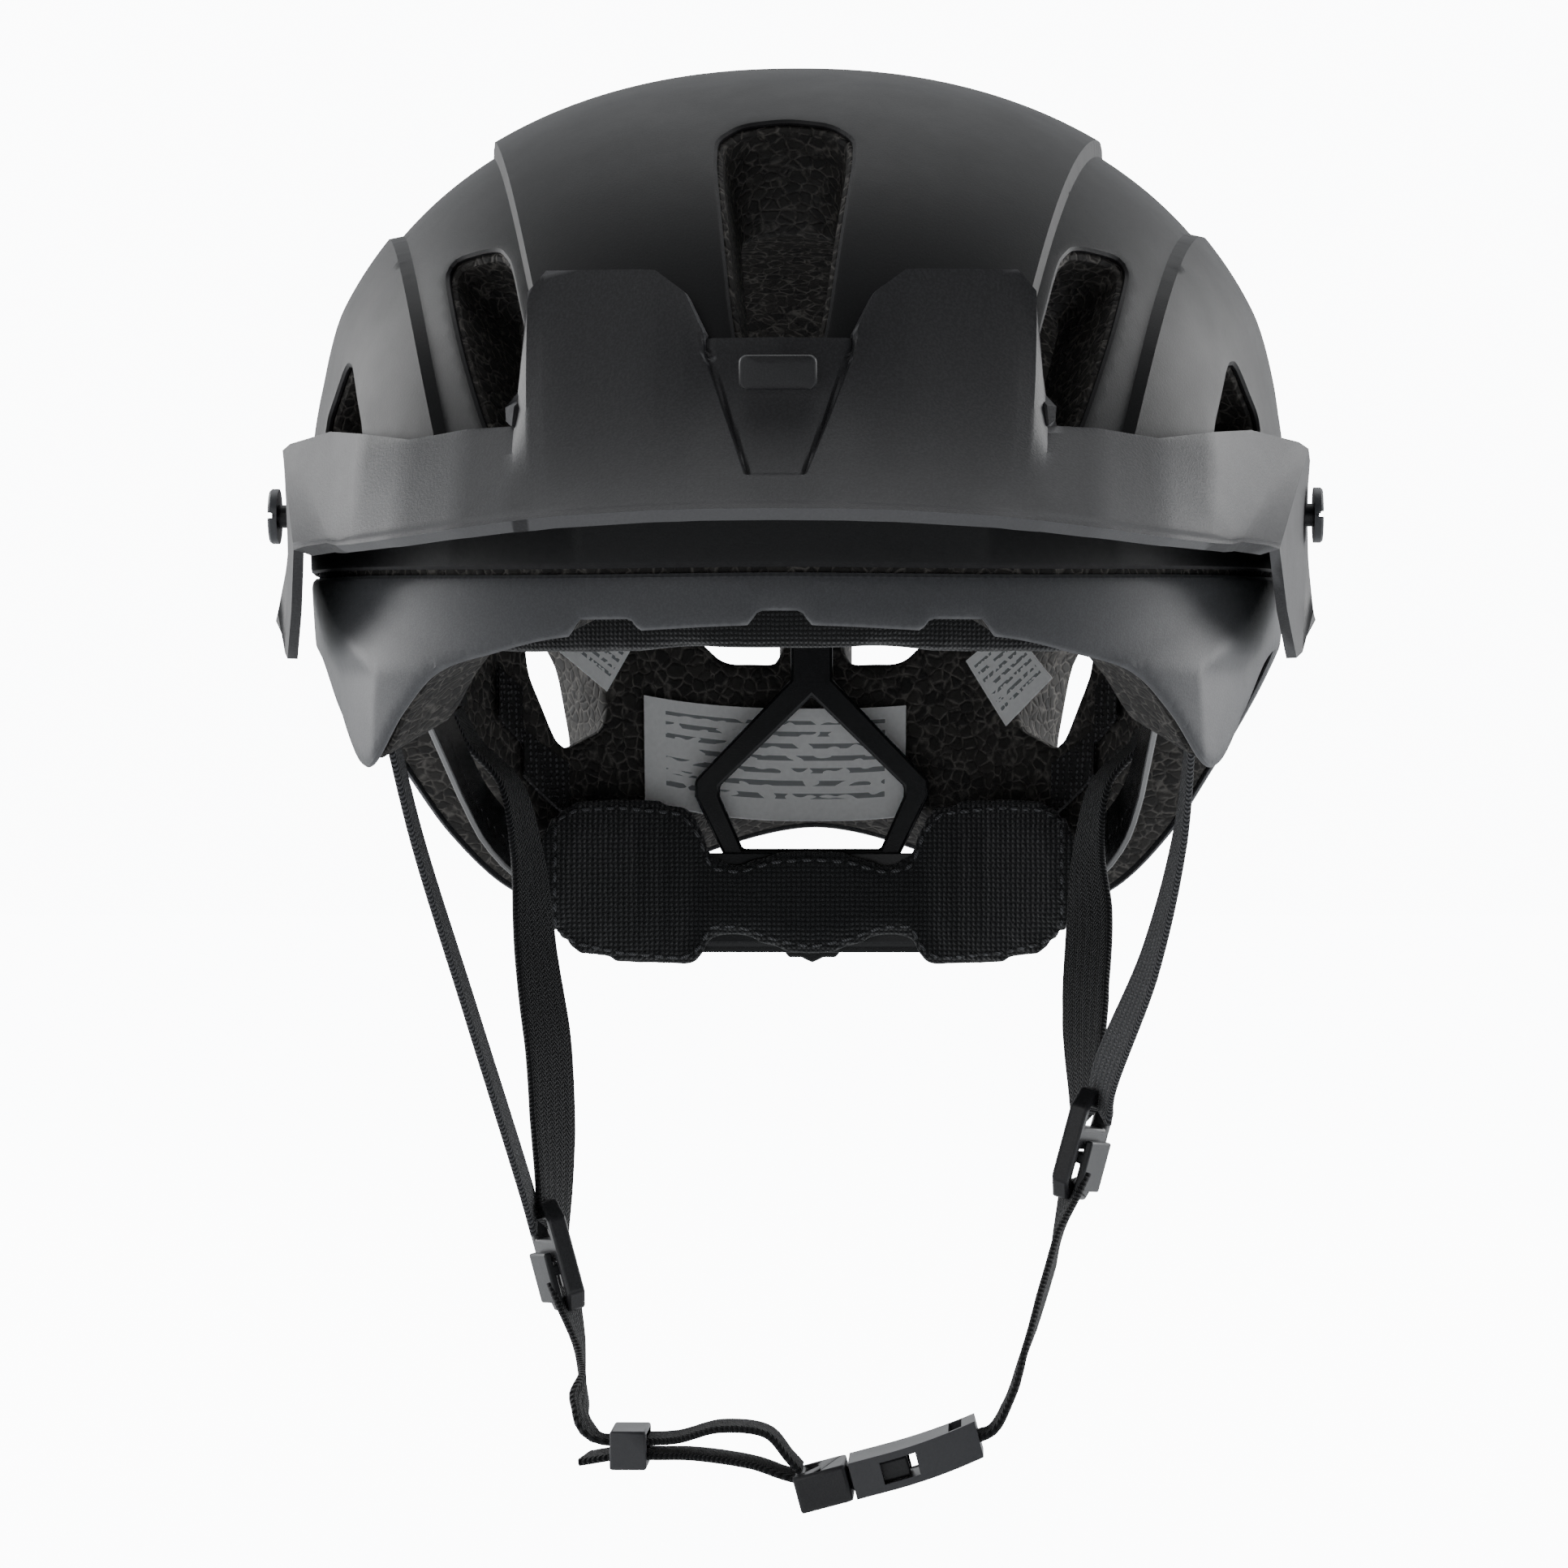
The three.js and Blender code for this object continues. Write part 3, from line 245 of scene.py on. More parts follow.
def rounded(loop, times=3):
    """Corner cutting: each pass puts two points at a fifth and four fifths of every side."""
    for _ in range(times):
        after = np.roll(loop, -1, axis=0)
        loop = np.stack([loop * 0.85 + after * 0.15, loop * 0.15 + after * 0.85], axis=1).reshape(-1, 2)
    return loop


def smooth_line(points, count=240):
    """A centripetal curve through the points of one side, mirrored to close round the dome."""
    control = np.array(points, float)
    knots = np.r_[0.0, np.cumsum(np.linalg.norm(np.diff(control, axis=0), axis=1) ** 0.5)]
    slopes = np.gradient(control, knots, axis=0)
    slopes[0, 1:] = 0.0
    slopes[-1, 1:] = 0.0
    where = np.linspace(0, knots[-1], count)
    span = np.clip(np.searchsorted(knots, where, side="right") - 1, 0, len(knots) - 2)
    width = knots[span + 1] - knots[span]
    t = ((where - knots[span]) / width)[:, None]
    width = width[:, None]
    curve = ((2 * t ** 3 - 3 * t ** 2 + 1) * control[span] + (t ** 3 - 2 * t ** 2 + t) * width * slopes[span]
             + (3 * t ** 2 - 2 * t ** 3) * control[span + 1] + (t ** 3 - t ** 2) * width * slopes[span + 1])
    left = curve[1:-1][::-1] * np.array([-1.0, 1.0, 1.0])
    return np.vstack([curve, left])


def vent_loop(corners, size=1.0):
    """A vent's outline on the map, with rounded corners, shrunk about its middle by size."""
    x, turn = np.array(corners, float).T
    angle = np.radians(turn)
    n = SHELL["fullness"]
    height = np.where(np.cos(angle) > 0, SHELL["rise"], DEPTH_BELOW)
    rest = 1.0 - np.abs(x / SHELL["width"]) ** n
    along = np.abs(np.sin(angle) / SHELL["length"]) ** n + np.abs(np.cos(angle) / height) ** n
    reach = (rest / along) ** (1.0 / n)
    flat = to_map(unit(np.column_stack([x, -reach * np.sin(angle), reach * np.cos(angle)])))
    middle = flat.mean(axis=0)
    return rounded(middle + (flat - middle) * size)


def inside(points, loop):
    """Even-odd test of points against a closed loop."""
    x, y = points[:, 0][:, None], points[:, 1][:, None]
    a, b = loop, np.roll(loop, -1, axis=0)
    crosses = (a[:, 1] > y) != (b[:, 1] > y)
    with np.errstate(divide="ignore", invalid="ignore"):
        meet = a[:, 0] + (y - a[:, 1]) * (b[:, 0] - a[:, 0]) / (b[:, 1] - a[:, 1])
    return (np.sum(crosses & (x < meet), axis=1) % 2) == 1


def nearest(points, targets):
    """Distance from each point to the nearest target, worked in blocks."""
    return np.concatenate([np.sqrt(((block[:, None, :] - targets[None]) ** 2).sum(2).min(1))
                           for block in np.array_split(points, max(1, len(points) // 400))])


def net(outer_loop, holes, creases=(), step=GRID_STEP):
    """Triangles that fill the outer loop but not the holes, with edges along every loop and crease."""
    loops = [resample(outer_loop, step)] + [resample(hole, step * 0.7) for hole in holes]
    lines = [resample(crease, step, closed=False) for crease in creases]
    borders = np.vstack(loops)
    rows = []
    for loop in loops:
        side = np.roll(loop, -1, axis=0) - np.roll(loop, 1, axis=0)
        normal = unit(np.column_stack([side[:, 1], -side[:, 0]]))
        for depth in (0.30, 0.62):
            for sign in (-1.0, 1.0):
                rows.append(loop + normal * (sign * depth * step))
    rings = np.vstack(rows)
    rings = rings[nearest(rings, borders) > 0.25 * step]
    reach = np.abs(loops[0]).max() + step
    axis = np.arange(-reach, reach, step)
    gx, gy = np.meshgrid(axis, axis * 1.0)
    gx = gx + np.where(np.arange(len(axis)) % 2, step / 2, 0.0)[:, None]
    grid = np.column_stack([gx.ravel(), gy.ravel()])
    grid = grid[inside(grid, loops[0])]
    grid = grid[nearest(grid, borders) > 0.95 * step]
    if lines:
        grid = grid[nearest(grid, np.vstack(lines)) > 0.5 * step]
    points = [borders] + [rings] + [grid] + lines
    flat = np.vstack(points)
    edges = []
    start = 0
    for loop in loops:
        index = np.arange(len(loop)) + start
        edges.append(np.column_stack([index, np.roll(index, -1)]))
        start += len(loop)
    start = len(borders) + len(rings) + len(grid)
    for line in lines:
        index = np.arange(len(line)) + start
        edges.append(np.column_stack([index[:-1], index[1:]]))
        start += len(line)
    edges = np.vstack(edges)
    found = delaunay_2d_cdt([Vector(p) for p in flat.tolist()], edges.tolist(), [], 0, 1e-7)
    flat = np.array([tuple(v) for v in found[0]])
    triangles = np.array([face for face in found[2] if len(face) == 3])
    middle = flat[triangles].mean(axis=1)
    keep = inside(middle, loops[0])
    for hole in loops[1:]:
        keep &= ~inside(middle, hole)
    triangles = triangles[keep]
    used, triangles = np.unique(triangles, return_inverse=True)
    return flat[used], triangles.reshape(-1, 3), borders


def new_mesh(name, points, faces, body=None, smooth_angle=35.0):
    """A mesh object from points in millimetres, smooth shaded with sharp edges past an angle."""
    mesh = bpy.data.meshes.new(name)
    mesh.from_pydata((np.asarray(points) * MM).tolist(), [], [tuple(int(i) for i in f) for f in faces])
    mesh.polygons.foreach_set("use_smooth", np.ones(len(mesh.polygons), bool))
    mesh.update()
    mesh.validate()
    if smooth_angle:
        mesh.set_sharp_from_angle(angle=math.radians(smooth_angle))
    piece = bpy.data.objects.new(name, mesh)
    bpy.context.scene.collection.objects.link(piece)
    if body:
        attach(piece, body)
    return piece


def wall_between(outer, inner, triangles):
    """A closed wall: the outer net, the inner net turned round, and quads along their open edges."""
    a, b, c = triangles.T
    edges = np.vstack([np.column_stack([a, b]), np.column_stack([b, c]), np.column_stack([c, a])])
    keys = {tuple(edge) for edge in edges.tolist()}
    rim = np.array([edge for edge in keys if (edge[1], edge[0]) not in keys])
    shift = len(outer)
    normal = np.cross(outer[b] - outer[a], outer[c] - outer[a])
    out = (normal * (outer[a] - CENTRE)).sum() > 0
    order = [0, 1, 2] if out else [0, 2, 1]
    faces = triangles[:, order].tolist() + (triangles[:, order[::-1]] + shift).tolist()
    if out:
        sides = np.column_stack([rim[:, 1], rim[:, 0], rim[:, 0] + shift, rim[:, 1] + shift])
    else:
        sides = np.column_stack([rim[:, 0], rim[:, 1], rim[:, 1] + shift, rim[:, 0] + shift])
    return np.vstack([outer, inner]), faces + sides.tolist()


def rolled(flat, borders, reach=1.5, drop=0.75):
    """How far the surface rolls in near its edges: a quarter-round over the last reach millimetres."""
    distance = nearest(flat, borders) * 120.0
    share = np.clip(1.0 - distance / reach, 0.0, 1.0)
    return drop * (1.0 - np.sqrt(np.maximum(0.0, 1.0 - share * share)))


def lifted(line, dz):
    """A closed line's place on the map, moved up or down by dz millimetres."""
    return to_map(unit(line + np.array([0.0, 0.0, dz]) - CENTRE))


def crease_lines(line_seam):
    """The ridge tops and feet as lines on the map, from just behind the front edge to the back."""
    turns = np.linspace(-88.0, 88.0, 90)
    lines = []
    for ridge, shift in [(RIDGES[0], 0.0), (RIDGES[0], 2.2), (RIDGES[1], 0.0), (RIDGES[1], -1.6),
                         (RIDGES[2], 0.0)]:
        for side in (-1.0, 1.0):
            x = side * (ridge_x(ridge, turns) + shift)
            angle = np.radians(turns)
            n = SHELL["fullness"]
            rest = 1.0 - np.abs(x / SHELL["width"]) ** n
            along = (np.abs(np.sin(angle) / SHELL["length"]) ** n + np.abs(np.cos(angle) / SHELL["rise"]) ** n)
            reach = (rest / along) ** (1.0 / n)
            flat = to_map(unit(np.column_stack([x, -reach * np.sin(angle), reach * np.cos(angle)])))
            keep = inside(flat, line_seam)
            for vent in VENTS:
                loop = vent_loop(vent)
                keep &= ~inside(flat, loop) & (nearest(flat, loop) > 0.02)
            runs = np.split(np.arange(len(flat)), np.where(np.diff(keep.astype(int)) != 0)[0] + 1)
            lines += [flat[run] for run in runs if keep[run[0]] and len(run) > 4]
    return lines




def srgb(code):
    """Linear colour from a hex code."""
    parts = [int(code[i:i + 2], 16) / 255 for i in (1, 3, 5)]
    return tuple([c / 12.92 if c < 0.04045 else ((c + 0.055) / 1.055) ** 2.4 for c in parts] + [1.0])


def node(tree, kind, settings=None, **inputs):
    """A shader node; an input named i0, i1... goes by number, and takes a value or another node's output."""
    made = tree.nodes.new(kind)
    for key, value in (settings or {}).items():
        setattr(made, key, value)
    for key, value in inputs.items():
        number = key[1:] if key[0] == "i" and key[1:].isdigit() else None
        socket = made.inputs[int(number)] if number else made.inputs[key.replace("_", " ")]
        if isinstance(value, bpy.types.NodeSocket):
            tree.links.new(value, socket)
        else:
            socket.default_value = value
    return made


def start_group(name, inputs, outputs):
    """A node group with named float, vector or colour sockets; returns its tree, input and output nodes."""
    group = bpy.data.node_groups.new(name, "ShaderNodeTree")
    kinds = {"f": "NodeSocketFloat", "v": "NodeSocketVector", "c": "NodeSocketColor"}
    for label, kind in inputs:
        group.interface.new_socket(label, in_out="INPUT", socket_type=kinds[kind])
    for label, kind in outputs:
        group.interface.new_socket(label, in_out="OUTPUT", socket_type=kinds[kind])
    return group, group.nodes.new("NodeGroupInput"), group.nodes.new("NodeGroupOutput")


def blank_material(name):
    """A material with its Principled shader, as (material, tree, shader)."""
    made = bpy.data.materials.new(name)
    made.use_nodes = True
    return made, made.node_tree, made.node_tree.nodes["Principled BSDF"]


# Moulding grain: fine noise for the spark-eroded surface, slow noise for handling marks.
grain_group, grain_in, grain_out = start_group("moulding_grain", [("Fineness", "f"), ("Depth", "f")],
                                               [("Tone", "f"), ("Marks", "f"), ("Normal", "v")])
where = node(grain_group, "ShaderNodeTexCoord")
fine = node(grain_group, "ShaderNodeTexNoise", Vector=where.outputs["Object"],
            Scale=grain_in.outputs["Fineness"],
            Detail=2.0, Roughness=0.6)
marks = node(grain_group, "ShaderNodeTexNoise", Vector=where.outputs["Object"], Scale=60.0, Detail=4.0,
             Roughness=0.65)
bump = node(grain_group, "ShaderNodeBump", Strength=1.0, Distance=grain_in.outputs["Depth"],
            Height=fine.outputs["Fac"])
grain_group.links.new(fine.outputs["Fac"], grain_out.inputs["Tone"])
grain_group.links.new(marks.outputs["Fac"], grain_out.inputs["Marks"])
grain_group.links.new(bump.outputs["Normal"], grain_out.inputs["Normal"])


def moulded(name, colour, rough, fineness=2600.0, depth=0.00004, speckle=1.35, edge_highlight_colour="#6a6a6c", edge_highlight_share=0.35,
            shine=0.5):
    """Moulded plastic: colour with grain speckle, handling marks in the gloss, and lighter sharp edges painted
    as an edge highlight.
    """
    made, tree, shader = blank_material(name)
    grain = node(tree, "ShaderNodeGroup", {"node_tree": grain_group}, Fineness=fineness, Depth=depth)
    base = srgb(colour)
    pale = tuple([min(1.0, c * speckle) for c in base[:3]] + [1.0])
    spots = node(tree, "ShaderNodeMapRange", Value=grain.outputs["Tone"], From_Min=0.42, From_Max=0.62)
    tinted = node(tree, "ShaderNodeMix", {"data_type": "RGBA"}, Factor=spots.outputs[0])
    tinted.inputs[6].default_value = base
    tinted.inputs[7].default_value = pale
    shape = node(tree, "ShaderNodeNewGeometry")
    # A lighter colour on sharp convex edges, found by pointiness, is a painted edge highlight.
    edge = node(tree, "ShaderNodeMapRange", Value=shape.outputs["Pointiness"], From_Min=0.53, From_Max=0.62,
                To_Max=edge_highlight_share)
    edge_highlighted = node(tree, "ShaderNodeMix", {"data_type": "RGBA"}, Factor=edge.outputs[0])
    tree.links.new(tinted.outputs[2], edge_highlighted.inputs[6])
    edge_highlighted.inputs[7].default_value = srgb(edge_highlight_colour)
    gloss = node(tree, "ShaderNodeMapRange", Value=grain.outputs["Marks"], From_Min=0.3, From_Max=0.7,
                 To_Min=max(0.05, rough - 0.02), To_Max=min(1.0, rough + 0.03))
    tree.links.new(edge_highlighted.outputs[2], shader.inputs["Base Color"])
    tree.links.new(gloss.outputs[0], shader.inputs["Roughness"])
    tree.links.new(grain.outputs["Normal"], shader.inputs["Normal"])
    shader.inputs["Specular IOR Level"].default_value = shine
    return made


def finished(piece, material, slot, *nodes):
    """Gives the piece its material, and shows it in place of its CAD nodes; the slot argument is not used."""
    piece.data.materials.append(material)
    if nodes:
        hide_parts(*nodes)
    return piece


seam_line = smooth_line(SEAM)
rim_line = smooth_line(RIM)
NOTCHES = [(0.0, 6.0, 33.5), (36.0, 7.0, 32.2), (-36.0, 7.0, 32.2)]  # middle, half width and top of each
dense = np.linspace(0.0, 1.0, 1400, endpoint=False) * len(rim_line)
rim_line = np.column_stack([np.interp(dense, np.arange(len(rim_line) + 1),
                                      np.r_[rim_line[:, k], rim_line[0, k]])
                            for k in range(3)])
for middle, half, top in NOTCHES:
    away = np.abs(rim_line[:, 0] - middle)
    lip = np.where(rim_line[:, 1] < -100, top - np.maximum(0.0, away - half + 1.5) * 1.6, -999.0)
    rim_line[:, 2] = np.maximum(rim_line[:, 2], lip)
shell_vents = [vent_loop(vent) for vent in VENTS]
upper_edge = lifted(seam_line, 0.6)
upper_flat, upper_tris, upper_border = net(upper_edge, shell_vents, crease_lines(upper_edge))
upper_way = from_map(upper_flat)
upper_outer = dome_points(upper_way, SHELL, 0.0, True)
upper_inner = dome_points(upper_way, SHELL, -SHELL_WALL, True)
upper_outer = upper_outer - upper_way * rolled(upper_flat, upper_border)[:, None]
shell_paint = moulded("matte_black_shell", "#0f0f11", 0.52, fineness=2200.0, depth=0.00003, speckle=1.3,
                      edge_highlight_share=0.25, shine=0.4)
upper_shell = new_mesh("upper_shell_skin", *wall_between(upper_outer, upper_inner, upper_tris), body="helmet",
                       smooth_angle=28.0)
finished(upper_shell, shell_paint, "upper_shell", "upper_shell")

# ---------------------------------------------------------------------------------------------
# Lower shell. A second skin that wraps the rim below the shadow gap, with three scallops in the
# brow, a facet that turns away at each temple and a chamfered lip. Grey satin plastic.
# ---------------------------------------------------------------------------------------------
FACET_DEPTH = 2.6
lower_edge = lifted(seam_line, -0.6)
rim_edge = lifted(rim_line, 0.0)
lower_flat, lower_tris, lower_border = net(rim_edge, [lower_edge] + shell_vents, step=0.015)
lower_way = from_map(lower_flat)
lower_outer = dome_points(lower_way, SHELL, 0.0, True)
lower_inner = dome_points(lower_way, SHELL, -SHELL_WALL, True)


def facet_bulge(points):
    """A swelling along the temple crease: a narrow hat of height FACET_DEPTH about a slanted line."""
    across = np.abs(points[:, 0])
    crease_y = np.interp(points[:, 2], [3.0, 24.0, 43.0], [-79.0, -87.0, -52.0])
    near = np.abs(points[:, 1] - crease_y) / 24.0
    fades = 1.0 - 0.65 * ease(24.0, 42.0, points[:, 2])
    return FACET_DEPTH * np.maximum(0.0, 1.0 - near) * (across > 55) * fades


swell = facet_bulge(lower_outer)[:, None] * lower_way
chamfer = rolled(lower_flat, lower_border, reach=2.2, drop=0.9)[:, None] * lower_way
lower_shell = new_mesh("lower_shell_skin", *wall_between(lower_outer + swell - chamfer, lower_inner + swell,
                                                        lower_tris), body="helmet", smooth_angle=25.0)
lower_paint = moulded("grey_satin_shell", "#4a4b4e", 0.45, fineness=2400.0, depth=0.00003, speckle=1.2,
                      edge_highlight_colour="#a0a0a2", edge_highlight_share=0.5)
finished(lower_shell, lower_paint, "lower_shell", "lower_shell")

# ---------------------------------------------------------------------------------------------
# Foam liner. Expanded polystyrene moulded in one piece behind the shells, with a bevelled sill
# round every vent; its pressed beads show as dark cells with paler outlines.
# ---------------------------------------------------------------------------------------------
BEAD = 2.8
VENT_LEDGE = 0.93
foam_vents = [vent_loop(vent, VENT_LEDGE) for vent in VENTS]
foam_rim = lifted(rim_line, 0.5)
foam_flat, foam_tris, foam_border = net(foam_rim, foam_vents, step=0.022)
foam_way = from_map(foam_flat)
foam_outer = dome_points(foam_way, SHELL, -SHELL_WALL - 0.3, True)
foam_outer = foam_outer - foam_way * rolled(foam_flat, foam_border, 1.2, 0.8)[:, None]
foam_inner = dome_points(foam_way, CAVITY) + foam_way * rolled(foam_flat, foam_border, 3.5, 2.5)[:, None]
foam_paint, tree, shader = blank_material("pressed_beads")
where = node(tree, "ShaderNodeTexCoord")
wobble = node(tree, "ShaderNodeTexNoise", Vector=where.outputs["Object"], Scale=220.0, Detail=1.0)
warped = node(tree, "ShaderNodeMixRGB", {"blend_type": "LINEAR_LIGHT"}, Fac=0.0012,
              Color1=where.outputs["Object"],
              Color2=wobble.outputs["Color"])
cells = node(tree, "ShaderNodeTexVoronoi", {"feature": "DISTANCE_TO_EDGE"}, Vector=warped.outputs[0],
             Scale=1000.0 / BEAD)
tints = node(tree, "ShaderNodeTexVoronoi", Vector=warped.outputs[0], Scale=1000.0 / BEAD)
lines = node(tree, "ShaderNodeMapRange", Value=cells.outputs["Distance"], From_Min=0.02, From_Max=0.13,
             To_Min=1.0,
             To_Max=0.0)
patchy = node(tree, "ShaderNodeTexNoise", Vector=where.outputs["Object"], Scale=420.0, Detail=3.0)
broken = node(tree, "ShaderNodeMapRange", Value=patchy.outputs["Fac"], From_Min=0.38, From_Max=0.6)
weight = node(tree, "ShaderNodeMath", {"operation": "MULTIPLY"}, i0=lines.outputs[0], i1=broken.outputs[0])
bead_tone = node(tree, "ShaderNodeSeparateColor", Color=tints.outputs["Color"])
bead_mix = node(tree, "ShaderNodeMix", {"data_type": "RGBA"}, Factor=bead_tone.outputs[0])
bead_mix.inputs[6].default_value = srgb("#1d1c1b")
bead_mix.inputs[7].default_value = srgb("#33312e")
line_mix = node(tree, "ShaderNodeMix", {"data_type": "RGBA"}, Factor=weight.outputs[0])
tree.links.new(bead_mix.outputs[2], line_mix.inputs[6])
line_mix.inputs[7].default_value = srgb("#625f5b")
tree.links.new(line_mix.outputs[2], shader.inputs["Base Color"])
hills = node(tree, "ShaderNodeMapRange", Value=cells.outputs["Distance"], From_Max=0.2)
bump = node(tree, "ShaderNodeBump", Strength=0.8, Distance=0.0003, Height=hills.outputs[0])
tree.links.new(bump.outputs[0], shader.inputs["Normal"])
shader.inputs["Roughness"].default_value = 0.8
foam_liner = new_mesh("foam_beads", *wall_between(foam_outer, foam_inner, foam_tris), body="helmet",
                      smooth_angle=40.0)
finished(foam_liner, foam_paint, "foam", "foam_liner")

# ---------------------------------------------------------------------------------------------
# Peak. One injection-moulded blade with wings down to its pivots: a recessed middle panel with
# two grooves between raised tabs, a fine edge bead along the front, and a blank badge plate.
# ---------------------------------------------------------------------------------------------
VISOR_WALL = 2.2
VISOR_STANDOFF = 7.0
VISOR_SPAN = 111.5
VISOR_PIVOT = (0.0, -32.0, 58.0)
PEAK_TOPS = [(0, 78.4, 2), (14, 78.4, 2), (18, 74.3, 3), (24, 71.9, 3), (45, 70.5, 3), (48.5, 72.4, 3),
             (50.5, 85, 1),
             (60, 84.8, 1), (72, 85, 1), (83, 83, 1)]
PEAK_FRONTS = [(0, -168, 52.6), (14, -167.6, 52.5), (18, -167, 52.4), (24, -166, 52.3), (43, -160.5, 51.4),
               (47, -159, 51), (52, -157, 50.6), (63, -149.5, 49.6), (77, -134, 48.4), (86, -120, 48)]
WING_TOPS = [(96.5, -70, 74), (108, -45, 73), (110.5, -38, 72), (111.5, -27, 70), (111.5, -20, 65),
             (111.5, -17.5, 57), (111.5, -20, 49)]
WING_FRONTS = [(90, -113.5, 48), (92.5, -109, 48.6), (101, -97, 48), (103.5, -80, 36), (106.5, -62, 26.5),
               (108.5, -50, 28), (111.5, -38, 37)]


def form_points(form, x, turn, offset=0.0):
    """Points of the plain dome at a distance x from the middle and a turn about the X line, in degrees."""
    angle = np.radians(turn)
    n = form["fullness"]
    height = np.where(np.cos(angle) > 0, form["rise"], DEPTH_BELOW)
    rest = 1.0 - np.minimum(0.999999, np.abs(x / form["width"]) ** n)
    along = np.abs(np.sin(angle) / form["length"]) ** n + np.abs(np.cos(angle) / height) ** n
    reach = (rest / along) ** (1.0 / n)
    way = unit(np.column_stack([x, -reach * np.sin(angle), reach * np.cos(angle)]))
    return dome_points(way, form, offset)


def peak_edges():
    """The peak's top points, lower points and knee points, one row for each column of half the peak."""
    tops = np.array(PEAK_TOPS, float)
    upper = form_points(SHELL, tops[:, 0], tops[:, 1], VISOR_STANDOFF)
    upper = np.vstack([upper, np.array(WING_TOPS, float)])
    lower = np.vstack([np.array(PEAK_FRONTS, float), np.array(WING_FRONTS, float)])
    knee = (upper + lower) / 2
    kneed = form_points(SHELL, tops[:, 0], 80 + 4 * tops[:, 2] / 3, VISOR_STANDOFF + 1)
    kneed[:, 2] = kneed[:, 2] + (lower[:len(tops), 2] + 8 - kneed[:, 2]) * 0.4
    knee[:len(tops)] = kneed
    return upper, lower, knee


def grid_faces(rows, columns):
    """The quads of a net of points, row by row."""
    a = (np.arange(rows - 1)[:, None] * columns + np.arange(columns - 1)[None]).ravel()
    return np.column_stack([a, a + 1, a + columns + 1, a + columns])


def peak_skin(fine, rows):
    """Quadratic curves from the top edge over the knee to the front edge, eased between columns."""
    upper, lower, knee = peak_edges()
    place = np.arange(len(upper), dtype=float)
    where = np.unique(np.concatenate([np.linspace(k, k + 1, n + 1) for k, n in enumerate(fine)]))
    t = np.linspace(0.0, 1.0, rows)[:, None, None]
    sides = []
    for points in (upper, knee, lower):
        sides.append(np.column_stack([np.interp(where, place, points[:, k]) for k in range(3)])[None])
    top, bend, front = sides
    skin = (1 - t) ** 2 * top + 2 * t * (1 - t) * bend + t ** 2 * front
    return skin, where


PANEL_Z = [60.5, 87.0]  # the middle panel's lowest and highest edge
PANEL_HALF = [6.2, 15.6]  # and its half width there
PANEL_COLUMN = 2.0  # the column of the peak that is drawn along the panel's edge
half_skin, columns_at = peak_skin([8, 10, 10, 8, 5, 8, 5, 5, 5, 6, 6, 3, 3, 3, 3, 3], 64)
for row in half_skin:
    edge_x = np.interp(row[0, 2], PANEL_Z, PANEL_HALF)
    met = np.interp(edge_x, row[:90, 0], columns_at[:90])
    moved = np.interp(columns_at, [0.0, PANEL_COLUMN, 4.0, columns_at[-1]], [0.0, met, 4.0, columns_at[-1]])
    row[:] = np.column_stack([np.interp(moved, columns_at, row[:, k].copy()) for k in range(3)])
rows_at = np.linspace(0.0, 1.0, half_skin.shape[0])[:, None]
across = half_skin[:, :, 0]
inside_panel = across - np.interp(half_skin[:, :1, 2], PANEL_Z, PANEL_HALF)
above = ease(PANEL_Z[0] - 0.6, PANEL_Z[0] + 0.8, half_skin[:, :1, 2])
sink = 1.1 * (1.0 - ease(-1.0, 0.2, inside_panel)) * above
groove = 0.8 * np.exp(-((inside_panel + 0.9) / 0.55) ** 2) * above
bead = 0.5 * ease(0.945, 0.975, rows_at) * (columns_at[None] < 12.0)
swell = bead - sink - groove
right_skin = half_skin
left_skin = right_skin[:, 1:][:, ::-1] * np.array([-1.0, 1.0, 1.0])
skin = np.concatenate([left_skin, right_skin], axis=1)
relief_of = np.concatenate([swell[:, 1:][:, ::-1], swell], axis=1)
side_step = np.gradient(skin, axis=1)
down_step = np.gradient(skin, axis=0)
skin_normal = unit(np.cross(down_step, side_step))
skin_normal *= np.sign((skin_normal * (skin - CENTRE)).sum(2).mean())
outer_skin = skin + skin_normal * relief_of[:, :, None]
inner_skin = skin - skin_normal * VISOR_WALL


def closed_sheet(outer, inner):
    """A closed wall between two nets of points of the same shape, with outward faces."""
    rows, columns = outer.shape[:2]
    faces = grid_faces(rows, columns)
    shift = rows * columns
    index = np.arange(shift).reshape(rows, columns)
    ring = np.concatenate([index[0, :-1], index[:-1, -1], index[-1, 1:][::-1], index[1:, 0][::-1]])
    after = np.roll(ring, -1)
    points = np.vstack([outer.reshape(-1, 3), inner.reshape(-1, 3)])
    a, b, c, _ = faces.T
    normal = np.cross(points[b] - points[a], points[c] - points[a])
    out = (normal * (points[a] - points[a + shift])).sum() > 0
    front = faces if out else faces[:, ::-1]
    back = (faces + shift)[:, ::-1] if out else faces + shift
    sides = np.column_stack([after, ring, ring + shift, after + shift])
    if not out:
        sides = sides[:, ::-1]
    return points, front.tolist() + back.tolist() + sides.tolist()


def bevelled(piece, width, segments=2, angle=40.0):
    """Rounds the piece's hard edges; the width is in millimetres."""
    rounding = piece.modifiers.new("rounded_edges", "BEVEL")
    rounding.width = width * MM
    rounding.segments = segments
    rounding.limit_method = "ANGLE"
    rounding.angle_limit = math.radians(angle)
    rounding.harden_normals = False
    return piece


def cut_away(piece, *cutters):
    """Cuts the other closed pieces out of this one, and removes them."""
    for cutter in cutters:
        cut = piece.modifiers.new("cut", "BOOLEAN")
        cut.operation = "DIFFERENCE"
        cut.solver = "EXACT"
        cut.object = cutter
        bpy.context.view_layer.objects.active = piece
        bpy.ops.object.modifier_apply(modifier=cut.name)
        bpy.data.objects.remove(cutter)
    return piece


